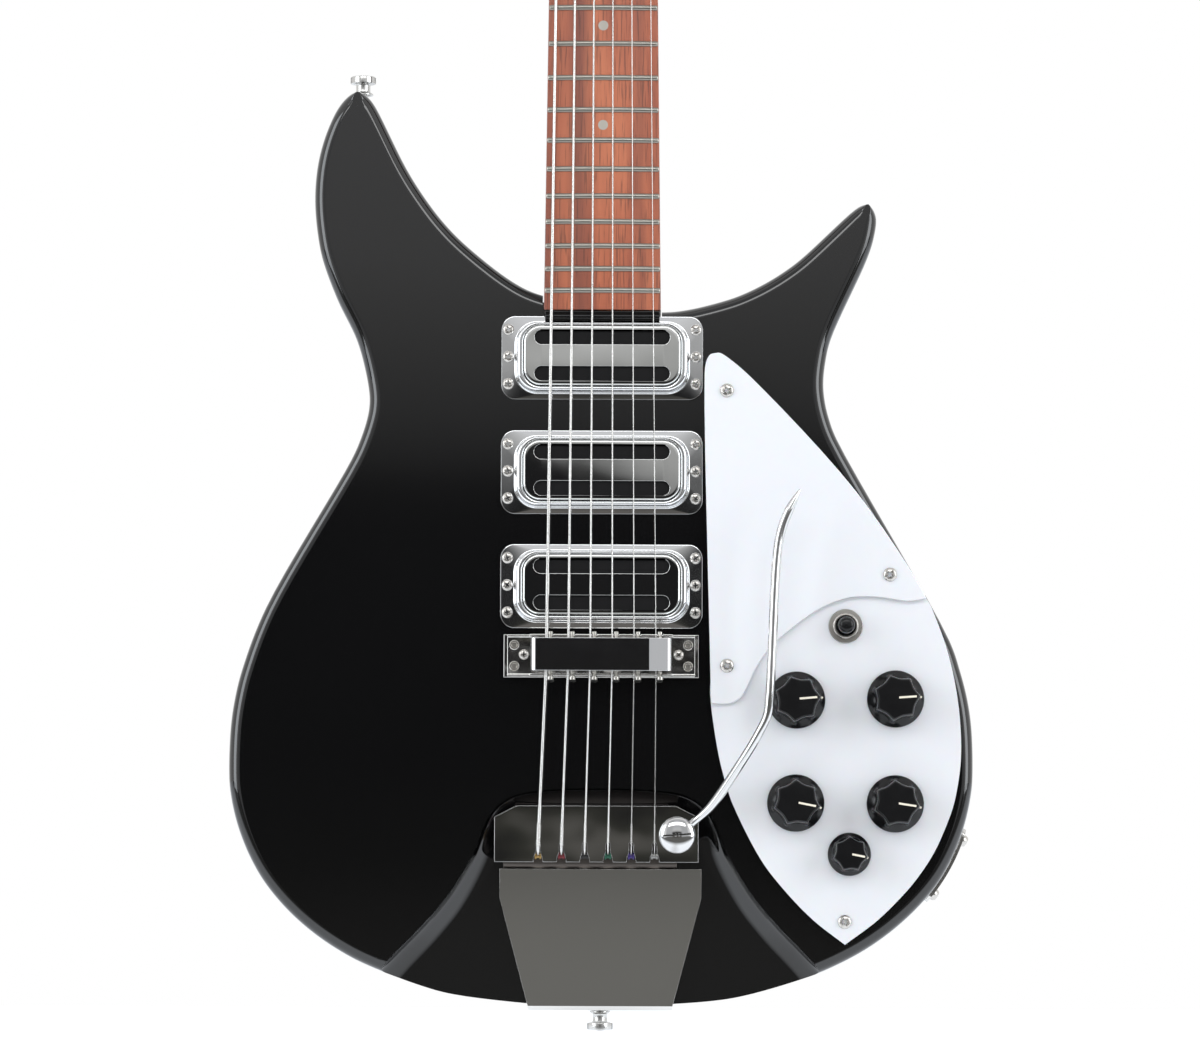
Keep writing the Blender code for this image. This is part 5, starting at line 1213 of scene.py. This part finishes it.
for y, z, width, depth, angle in stations:
    section = [(-width, depth), (-width, 0), (width, 0), (width, depth), (width - SHEET, depth),
               (width - SHEET, SHEET), (-width + SHEET, SHEET), (-width + SHEET, depth)]
    rings.append([(x, y + level * math.sin(angle), z - level * math.cos(angle))
                  for x, level in section])
tail = made_of("tail_cover", loft(rings))
tail = carved(tail, made_of("strap_hole", turned([(2.4, -6), (2.4, 6)], 24, (0, 0, 0),
                                                 (0, 1, 0))))
fit(softened(tail, 0.7, 4, 40), "guitar", "chrome", tail_chrome, "tailpiece_base")

plate_chrome = plated("string_plate_chrome", (0.79, 0.79, 0.79), 0.04, 0.0007, 22.0, wear=0.02)
plate_low = PLATE_TOP - STRING_PLATE_THICK
plate = made_of("string_plate", prism(STRING_PLATE, plate_low, PLATE_TOP))
(right_x, front_y), (left_x, front_y) = STRING_PLATE[3:5]
lip = prism(rectangle(left_x, front_y - SHEET, right_x, front_y), SPRING_TOP + CLEARANCE,
            plate_low - 0.05)
cuts = []
for number in range(6):
    x = string_x(number, SPREAD_AT_TAIL) + TAIL_ASIDE
    right = curve_through(STRING_NOTCH, 3)
    bell = [(x + dx, y) for dx, y in right] + [(x - dx, y) for dx, y in right[::-1]]
    cuts.append(prism(bell, PLATE_TOP - 4, PLATE_TOP + 2))
cuts.append(prism(circle(ARM_HOLE, 32, ARM_PIVOT), PLATE_TOP - 4, PLATE_TOP + 2))
plate = carved(plate, made_of("plate_notches", together(*cuts)))
fit(softened(plate, 0.45, 3, 40), "vibrato", "chrome", plate_chrome, "vibrato_plate")

spring_steel = surface("spring_steel", (0.11, 0.098, 0.09), 0.32, 1.0, wear=0.1, patch=90.0,
                       grain=1800.0, relief=0.05)
fit(softened(made_of("plate_lip", lip), 0.1, 2), "vibrato", "string_steel", spring_steel)
low = SPRING_TOP - SPRING_THICK
sunk = low - SPRING_DROP
rings = []
for x, start, end in ((-TAIL_HALF_WIDTH + SHEET + CLEARANCE, 50, 74), (left_x, 34, front_y),
                      (right_x - 4, 34, front_y), (right_x + 0.4, 34, front_y - 3.4)):
    under = curve_through([(start, sunk), (ROCK_Y - 3, sunk), (ROCK_Y, (low + sunk) / 2),
                           (ROCK_Y + 3, low), (end, low)], 5)
    over = [(y, z + SPRING_THICK) for y, z in under[::-1]]
    rings.append([(x, y, z) for y, z in under + over])
spring = softened(made_of("leaf_spring", loft(rings)), 0.2, 2, 40)
finished(spring, spring_steel)
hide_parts("vibrato_spring")
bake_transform(spring)

# Arm. A bent chrome rod with an eye round its screw; the screw's wide slotted dome clamps it
# to the string plate, and it swings there.
ARM_ROUTE = ((36.2, 76.0, 23.65), (41.0, 79.8, 23.8), (47, 85.4, 26.4), (59.8, 104.2, 35),
             (66.6, 115.6, 38.4), (70.3, 123.5, 39.6), (71.4, 133, 40.4), (74.2, 190, 42.4),
             (76, 201.5, 42.7), (79.4, 210.5, 43), (84, 219, 43.2))
ROD_RADIUS = 2.0
EYE_RADIUS = 6.6
EYE_LOW = PLATE_TOP + 0.3
EYE_TOP = PLATE_TOP + 3.0
DOME_RADIUS = 7.7

arm_chrome = plated("arm_chrome", (0.64, 0.64, 0.64), 0.09, 0.00003, 90.0, wear=0.03)
route = curve_through(ARM_ROUTE, 9)
radii = []
for i, (x, y, z) in enumerate(route):
    from_eye = min(1, max(0, (y - 76) / 12))
    from_tip = min(1, (219.3 - y) / 9)
    radii.append(min(1.35 + (ROD_RADIUS - 1.35) * from_eye,
                     ROD_RADIUS * math.sqrt(max(0.05, from_tip))))
rod = made_of("arm_rod", tube(route, radii, 24))
eye_rings = [at_height(circle(r, 48, ARM_PIVOT), z) for r, z in
             ((EYE_RADIUS - 0.4, EYE_LOW), (EYE_RADIUS, EYE_LOW + 0.4),
              (EYE_RADIUS, EYE_TOP - 0.4), (EYE_RADIUS - 0.4, EYE_TOP), (ARM_HOLE, EYE_TOP),
              (ARM_HOLE, EYE_LOW))]
eye = made_of("arm_eye", loft(eye_rings, closed=True))
rod = carved(rod, eye, operation="UNION")
fit(creased(rod, 40), "arm", "chrome", arm_chrome, "vibrato_arm")

head = EYE_TOP + 0.3
dome = [(4.4, PLATE_TOP - 4.2), (4.4, PLATE_TOP - 1.8), (3.0, PLATE_TOP - 1.8), (3.0, head),
        (DOME_RADIUS - 0.3, head), (DOME_RADIUS, head + 0.3), (DOME_RADIUS, head + 0.9)]
dome += [(DOME_RADIUS * math.cos(a) ** 0.85, head + 0.9 + 2.6 * math.sin(a))
         for a in quarter(12)[1:-1]]
dome.append((0.4, head + 3.5))
arm_screw = made_of("arm_screw_dome", turned(dome, 56, (*ARM_PIVOT, 0)))
groove = made_of("arm_screw_slot", prism(rectangle(-5.9, -0.32, 5.9, 0.32), head + 1.9, head + 5),
                 STAND @ Matrix.Translation((*ARM_PIVOT, 0)) @ Matrix.Rotation(
                     math.radians(4), 4, "Z"))
arm_screw = softened(carved(arm_screw, groove), 0.15, 2, 40)
fit(arm_screw, "vibrato", "chrome", arm_chrome, "arm_screw")

# Pickguard. Two sheets of white acrylic: the lower carries the controls, the upper stands on
# it and on two spacers along the strings. Four small screws hold them to the top.
GUARD_THICK = 2.4
BIG_KNOBS = ((83.5, 130.8), (125.7, 131.4), (83.1, 86.9), (125.5, 86.7))
SMALL_KNOB = (105.9, 65.2)
TOGGLE = (104.4, 162.5)
GUARD_SPACERS = ((53.5, 263.3), (53.7, 145.3))
RAISED_SCREWS = (GUARD_SPACERS[0], (123.3, 184.5), GUARD_SPACERS[1])
LOWER_SCREW = (104.0, 36.5)
KNOB_HOLE = 5.1
TOGGLE_HOLE = 5.9

acrylic = surface("white_acrylic", (0.80, 0.81, 0.84), 0.22, coat=0.35, wear=0.05, patch=26.0,
                  grain=260.0, relief=0.02)
feed(shader_of(acrylic), [("Subsurface Weight", 0.15), ("Subsurface Scale", 0.002)])
guard_low = FACE + CLEARANCE
lower = made_of("lower_sheet", prism(rim_of("pickguard_lower", 6), guard_low,
                                     guard_low + GUARD_THICK))
holes = [prism(circle(radius, 32, spot), guard_low - 2, guard_low + 5) for spot, radius in
         [(spot, KNOB_HOLE) for spot in BIG_KNOBS + (SMALL_KNOB,)] + [(TOGGLE, TOGGLE_HOLE)]]
lower = carved(lower, made_of("control_holes", together(*holes)))
fit(softened(lower, 0.45, 3, 32), "guitar", "white_acrylic", acrylic, "pickguard_lower")
raised = guard_low + GUARD_THICK + CLEARANCE
upper = softened(made_of("upper_sheet", prism(rim_of("pickguard_upper", 6), raised,
                                              raised + GUARD_THICK)), 1.5, 5, 32)
fit(upper, "guitar", "white_acrylic", acrylic, "pickguard_upper")
spacers = [prism(circle(3.2, 24, spot), guard_low, raised - 0.01) for spot in GUARD_SPACERS]
fit(creased(made_of("guard_spacers", together(*spacers))), "guitar", "white_acrylic", acrylic)
screws("guard_screws", [(*spot, raised + GUARD_THICK) for spot in RAISED_SCREWS]
       + [(*LOWER_SCREW, guard_low + GUARD_THICK)], 3.0, 1.3, "guitar", 51)

# Control knobs. Black moulded knobs pressed on their shafts, with a round skirt and a grip of
# seven hollow flutes; a cream line is let into the top and a dot into the skirt. The fifth
# is smaller.
KNOB_BOTTOM = FACE + CLEARANCE + GUARD_THICK + 0.7
KNOB_RECESS = KNOB_BOTTOM + 3.6
KNOB_REST = (5, 4, -11, -8.5, -11)
KNOB_FLUTES = 7
FLUTE_STEPS = 12
SHAFT_RADIUS = 3.0
BIG_SKIRT, BIG_HEIGHT = 12.2, 14.5
SMALL_SKIRT, SMALL_HEIGHT = 9.2, 12.5

knob_black = surface("knob_black", (0.004, 0.004, 0.0045), 0.24, coat=0.1, wear=0.06,
                     patch=160.0, grain=1500.0, relief=0.03)
feed(shader_of(knob_black), [("Specular IOR Level", 0.3)])
cream = surface("cream_inlay", (0.85, 0.79, 0.66), 0.4, coat=0.3, wear=0.08, patch=400.0)
zinc = surface("zinc_shield", (0.50, 0.52, 0.52), 0.42, 1.0, wear=0.12, patch=70.0, grain=900.0,
               relief=0.08)
names = ("knob_upper_left", "knob_upper_right", "knob_lower_left", "knob_lower_right",
         "knob_small")
for name, spot, rest in zip(names, BIG_KNOBS + (SMALL_KNOB,), KNOB_REST):
    big = name != "knob_small"
    skirt = BIG_SKIRT if big else SMALL_SKIRT
    height = BIG_HEIGHT if big else SMALL_HEIGHT
    cusp, flute = skirt * 0.85, skirt * 0.72
    turn = math.radians(rest)
    count = KNOB_FLUTES * FLUTE_STEPS
    grip = []
    for scale, rise, soft in ((1.035, 3.1, 0.6), (1.0, 3.7, 1.0), (0.985, 5.5, 1.0),
                              (0.95, height - 1.6, 1.0), (0.93, height - 0.8, 1.0),
                              (0.90, height - 0.3, 1.0), (0.855, height, 1.0),
                              (0.5, height + 0.02, 1.0), (0.12, height + 0.02, 1.0)):
        row = []
        for k in range(count):
            hollow = (cusp - flute) * math.sin(math.pi * (k % FLUTE_STEPS) / FLUTE_STEPS) * soft
            reach = (cusp - hollow) * scale
            angle = math.tau * k / count + turn
            row.append((spot[0] + reach * math.cos(angle), spot[1] + reach * math.sin(angle),
                        KNOB_BOTTOM + rise))
        grip.append(row)
    under = [(SHAFT_RADIUS, FACE - 10), (SHAFT_RADIUS, KNOB_RECESS), (skirt - 4.4, KNOB_RECESS),
             (skirt - 1.2, KNOB_BOTTOM), (skirt - 0.2, KNOB_BOTTOM), (skirt, KNOB_BOTTOM + 0.2),
             (skirt, KNOB_BOTTOM + 0.9), (skirt - 0.25, KNOB_BOTTOM + 1.35),
             (skirt - 0.8, KNOB_BOTTOM + 1.8), (skirt - 1.5, KNOB_BOTTOM + 2.4)]
    rings = [at_height(circle(r, count, spot, turn), z) for r, z in under] + grip
    knob = creased(made_of(name + "_cap", loft(rings)), 34)
    fit(knob, name, "black_plastic", knob_black, name)
    lay = STAND @ Matrix.Translation((*spot, 0)) @ Matrix.Rotation(turn, 4, "Z")
    top = KNOB_BOTTOM + height
    parts = [prism(rectangle(0.7, -0.42, cusp * 0.79, 0.42), top - 0.3, top + 0.09),
             turned([(0.5, KNOB_BOTTOM + 1), (0.5, KNOB_BOTTOM + 3.65),
                     (0.25, KNOB_BOTTOM + 3.75)], 20, (skirt - 1.55, 0, 0))]
    fit(creased(made_of(name + "_mark", together(*parts), lay)), name, "white_acrylic", cream)

finished(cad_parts["pot_plate"], zinc)

# Toggle switch. A nickelled round nut over a washer clamps its bushing to the guard; the
# lever has a black domed tip.
washer_low = KNOB_BOTTOM - 0.4
toggle_nickel = surface("toggle_nickel", (0.46, 0.44, 0.41), 0.3, 1.0, wear=0.1, patch=300.0,
                        grain=2600.0, relief=0.06)
rings = [at_height(circle(r, 56, TOGGLE), z) for r, z in
         ((5.6, FACE - 3), (5.6, washer_low), (7.2, washer_low), (7.3, washer_low + 0.15),
          (7.3, washer_low + 0.6), (7.1, washer_low + 0.9), (5.45, washer_low + 0.95),
          (5.5, washer_low + 1.1), (5.5, washer_low + 2.7), (5.2, washer_low + 3.1),
          (4.9, washer_low + 3.2), (4.5, washer_low + 3.15), (4.3, washer_low + 2.9),
          (4.3, FACE - 7), (0.2, FACE - 7.2), (0.2, FACE - 8), (5.6, FACE - 8))]
switch = creased(made_of("toggle_bushing", loft(rings, closed=True)), 35)
fit(switch, "guitar", "nickel", toggle_nickel)
frame_low, frame_high = flat_box("toggle_switch")
leaf_frame = made_of("toggle_frame", prism(
    rectangle(frame_low.x, frame_low.y, frame_high.x, frame_high.y), frame_low.z, FACE - 8.1))
fit(softened(leaf_frame, 0.3), "guitar", "nickel", toggle_nickel, "toggle_switch")
shape = curve_through([(1.1, FACE - 5), (1.4, FACE + 1), (1.5, washer_low + 4.0),
                       (2.3, washer_low + 5.0), (3.15, washer_low + 6.2), (3.55, washer_low + 7.6),
                       (3.62, washer_low + 9), (3.35, washer_low + 10.6),
                       (2.4, washer_low + 11.8), (0.3, washer_low + 12.2)], 4)
lever = creased(made_of("toggle_tip", turned(shape, 36, (*TOGGLE, 0))))
fit(lever, "toggle_lever", "black_plastic", knob_black, "toggle_lever")

# Output jack. A chrome plate bent to the lower rim, with a dish pressed into it and two
# screws; the hexagon nut of the socket lies in the dish.
JACK_HALF_LENGTH = 17.5
JACK_HALF_HEIGHT = 9.0
JACK_CORNER = 3.0
JACK_SCREW = 13.1

jack_chrome = surface("jack_chrome", (0.66, 0.65, 0.63), 0.16, 1.0, wear=0.04, relief=0.0002)
centre = Vector((*JACK_CENTRE, 0))
along = Vector((-JACK_NORMAL.y, JACK_NORMAL.x, 0))
rim = [((Vector((x, y, 0)) - centre).dot(along), (Vector((x, y, 0)) - centre).dot(JACK_NORMAL))
       for x, y in outline if x > 0]


def rim_level(distance):
    """Height of the rim on the jack's axis: a curve through its middle and both plate ends."""
    low, middle, high = (min(rim, key=lambda spot: abs(spot[0] - at))[1]
                         for at in (-JACK_HALF_LENGTH, 0, JACK_HALF_LENGTH))
    part = distance / JACK_HALF_LENGTH
    return middle + (high - low) / 2 * part + ((high + low) / 2 - middle) * part * part


def on_rim(distance, level, z):
    """A point along the rim from the jack's middle, lifted off the rim and moved in depth."""
    return (centre + along * distance + JACK_NORMAL * (rim_level(distance) + level)
            + Vector((0, 0, JACK_Z + z)))


rings = []
for k in range(-24, 25):
    distance = JACK_HALF_LENGTH * k / 24
    past = max(0, abs(distance) - (JACK_HALF_LENGTH - JACK_CORNER)) / JACK_CORNER
    half = JACK_HALF_HEIGHT - JACK_CORNER * (1 - math.sqrt(max(0, 1 - past * past)))
    rings.append([tuple(on_rim(distance, level, z)) for level, z in
                  ((CLEARANCE, -half), (CLEARANCE, half), (CLEARANCE + SHEET, half),
                   (CLEARANCE + SHEET, -half))])
mouth = on_rim(0, 0, 0)
plate = made_of("jack_plate", loft(rings))
plate = carved(plate, made_of("jack_bore", turned([(6.3, -22), (6.3, 8)], 48, mouth,
                                                  JACK_NORMAL)))
fit(creased(plate, 35), "guitar", "chrome", jack_chrome, "output_jack")
place = facing(mouth, JACK_NORMAL)
dish = [(3.5, -24), (5.2, -24), (5.2, -4.6), (7.5, -4.6), (7.5, -0.05), (6.8, -0.05),
        (6.35, -0.4), (6.3, -1.2), (6.3, -3.4), (3.5, -3.4)]
nut = [(3.5, -3.35), (5.0, -3.35), (5.0, -1.5), (4.7, -1.2), (3.9, -1.2), (3.5, -1.5)]
socket = loft([moved(at_height(circle(r, 48), h), place) for r, h in dish], closed=True)
rings = []
for r, h in nut:
    ring = []
    for k in range(48):
        angle = math.tau * k / 48
        flat = math.cos(math.pi / 6) / math.cos(angle % (math.pi / 3) - math.pi / 6)
        reach = r * flat if r > 4 else r
        ring.append((reach * math.cos(angle), reach * math.sin(angle), h))
    rings.append(moved(ring, place))
fit(creased(made_of("jack_socket", socket), 35), "guitar", "nickel", nickel)
fit(creased(made_of("jack_nut", loft(rings, closed=True)), 25), "guitar", "nickel", nickel)
screws("jack_screws", [on_rim(distance, CLEARANCE + SHEET, 0)
                       for distance in (-JACK_SCREW, JACK_SCREW)], 2.6, 2.4, "guitar", 61,
       tilt=(0, math.radians(90), math.atan2(JACK_NORMAL.y, JACK_NORMAL.x)))

# Strap buttons. Turned chrome buttons with a knurled rim, one at the tail and one at the
# left horn, each held by one long screw.
HORN_TIP = (-104.4, 393.7)
BUTTON_RADIUS = 5.5

button_chrome = surface("button_chrome", (0.58, 0.575, 0.56), 0.2, 1.0, wear=0.06, patch=200.0,
                        grain=2400.0, relief=0.04)
button_profile = [(2.0, -16), (2.0, 0.3), (4.2, 0.35), (4.4, 0.5), (4.4, 0.95), (4.1, 1.25),
                  (3.3, 1.7), (3.1, 2.3), (3.1, 4.6), (3.4, 5.1), (4.6, 5.35), (5.3, 5.5),
                  (BUTTON_RADIUS, 5.75), (BUTTON_RADIUS, 8.1), (5.2, 8.45), (4.2, 8.5),
                  (2.9, 8.35), (2.75, 8.0), (0.2, 7.95)]
for node, seat_at, axis in (("strap_button_end", (0, -CLEARANCE - SHEET, 0), (0, -1, 0)),
                            ("strap_button_horn", (*HORN_TIP, 0), (0, 1, 0))):
    place = facing(seat_at, axis)
    rings = []
    for r, h in button_profile:
        valley = r - (0.14 if r == BUTTON_RADIUS else 0)
        pairs = zip(circle(r, 96)[::2], circle(valley, 96)[1::2])
        rings.append(moved([(x, y, h) for pair in pairs for x, y in pair], place))
    made = creased(made_of(node + "_turned", loft(rings)), 35)
    fit(made, "guitar", "chrome", button_chrome, node)
    face = Vector(seat_at) + Vector(axis) * 8.0
    screws(node + "_screw", [tuple(face)], 2.5, 0.9, "guitar", 71,
           tilt=(math.radians(-90) * Vector(axis).y, 0, 0))

# Floor. A plain pale floor below the body and the picture's lower edge, evenly white to the
# camera. In the chrome and the lacquer it shows a painted reflection: a painted glow, brighter at
# both sides near the instrument, and painted dark grey far out in front; the glow is seen only in
# reflections and lights nothing.
FLOOR_Z = -0.12

floor_paint, add = new_finish("pale_floor")
seen = add("ShaderNodeLightPath").outputs
where = add("ShaderNodeTexCoord").outputs["Object"]
apart = add("ShaderNodeSeparateXYZ", [("Vector", where)]).outputs
# Masks for the painted reflection: off the middle line, and near the instrument.
aside = mapped(add, arithmetic(add, "ABSOLUTE", apart["X"]), 0.01, 0.07, 0.3, 0.7)
near = mapped(add, apart["Y"], -0.75, -0.4)
# Painted reflection colour that only glossy rays see: dark grey far out in front, white near the
# instrument.
in_mirrors = mixed(add, near, (0.125, 0.122, 0.113, 1), (0.9, 0.9, 0.9, 1))
to_camera = arithmetic(add, "MULTIPLY", seen["Is Camera Ray"], 0.75)
# Painted highlight glow that only glossy rays see, near the instrument and brighter off the middle
# line.
painted_reflection_glow = arithmetic(add, "MULTIPLY", seen["Is Glossy Ray"],
                        arithmetic(add, "MULTIPLY", aside, near))
feed(shader_of(floor_paint), [
    ("Roughness", 0.9), ("Specular IOR Level", 0.1),
    ("Base Color", mixed(add, seen["Is Glossy Ray"], (0.9, 0.9, 0.9, 1), in_mirrors)),
    ("Emission Color", (0.86, 0.92, 1, 1)),
    ("Emission Strength", arithmetic(add, "ADD", to_camera, painted_reflection_glow))])
floor = bpy.data.objects.new("floor", bpy.data.meshes.new("floor"))
floor.data.from_pydata([(-6, -4, FLOOR_Z), (6, -4, FLOOR_Z), (6, 6, FLOOR_Z), (-6, 6, FLOOR_Z)],
                       [], [(0, 1, 2, 3)])
floor.data.materials.append(floor_paint)
bpy.context.scene.collection.objects.link(floor)

# Room. White behind the instrument. In front the chrome sees a pale ceiling, a dark band
# at eye level and a warm grey below, between pale walls, and white far out at both sides.
room_light = bpy.data.worlds.new("studio")
bpy.context.scene.world = room_light
room_light.use_nodes = True
add = adder(room_light.node_tree)
rays = add("ShaderNodeLightPath").outputs
where = add("ShaderNodeTexCoord").outputs["Generated"]
apart = add("ShaderNodeSeparateXYZ", [("Vector", where)]).outputs
stops = ((0.0, (0.15, 0.14, 0.13)), (0.46, (0.15, 0.14, 0.13)), (0.49, (0.09, 0.087, 0.08)),
         (0.515, (0.035, 0.035, 0.03)), (0.55, (0.014, 0.014, 0.014)),
         (0.63, (0.013, 0.013, 0.014)), (0.643, (0.04, 0.04, 0.04)), (0.653, (0.17, 0.17, 0.17)),
         (0.667, (0.29, 0.29, 0.29)), (0.686, (0.41, 0.41, 0.405)), (0.72, (0.62, 0.62, 0.62)),
         (0.79, (0.74, 0.74, 0.75)), (1.0, (0.62, 0.63, 0.65)))
bands = ramp(add, mapped(add, apart["Z"], -0.3, 0.3), stops)
across = arithmetic(add, "ABSOLUTE", apart["X"])
walls = mixed(add, mapped(add, across, 0.13, 0.16), bands, (0.55, 0.56, 0.57, 1))
white_parts = arithmetic(add, "MAXIMUM", mapped(add, apart["Y"], -0.5, -0.3),
                         mapped(add, across, 0.42, 0.56))
in_mirrors = arithmetic(add, "MAXIMUM", rays["Is Glossy Ray"], rays["Is Transmission Ray"])
white_for = arithmetic(add, "MAXIMUM", rays["Is Camera Ray"],
                       arithmetic(add, "MULTIPLY", white_parts, in_mirrors))
feed(room_light.node_tree.nodes["Background"],
     [("Color", mixed(add, white_for, walls, (1, 1, 1, 1)))])


def softbox(name, at, aim, size, power, colour=(1, 1, 1)):
    lamp = bpy.data.lights.new(name, "AREA")
    lamp.shape = "RECTANGLE"
    lamp.size, lamp.size_y = size
    lamp.energy = power
    lamp.color = colour
    holder = bpy.data.objects.new(name, lamp)
    holder.location = at
    holder.rotation_euler = (Vector(aim) - Vector(at)).to_track_quat("-Z", "Y").to_euler()
    bpy.context.scene.collection.objects.link(holder)


middle = (0, -0.02, 0.2)
softbox("left_softbox", (-2.3, -1.5, 0.7), middle, (1.3, 2.2), 32, (0.90, 0.95, 1.0))
softbox("right_softbox", (2.3, -1.5, 0.7), middle, (1.3, 2.2), 32, (0.92, 0.96, 1.0))
softbox("front_softbox", (0, -2.3, 1.45), middle, (2.2, 0.6), 16)

# Camera. A long lens straight in front, a little above the tail's level, that looks slightly
# up at the body.
LENS = 147.9
EYE = (0, -2.1245, 0.0412)
LOOKS_AT = (-0.0007, -0.031, 0.20575)
ROLL = math.radians(0.2)

lens = bpy.data.cameras.new("camera")
lens.lens = LENS
camera = bpy.data.objects.new("camera", lens)
camera.location = EYE
facing = (Vector(LOOKS_AT) - Vector(EYE)).to_track_quat("-Z", "Y").to_matrix()
camera.rotation_euler = (facing @ Matrix.Rotation(ROLL, 3, "Z")).to_euler()
bpy.context.scene.collection.objects.link(camera)
bpy.context.scene.camera = camera
bpy.context.scene.view_settings.view_transform = "Standard"
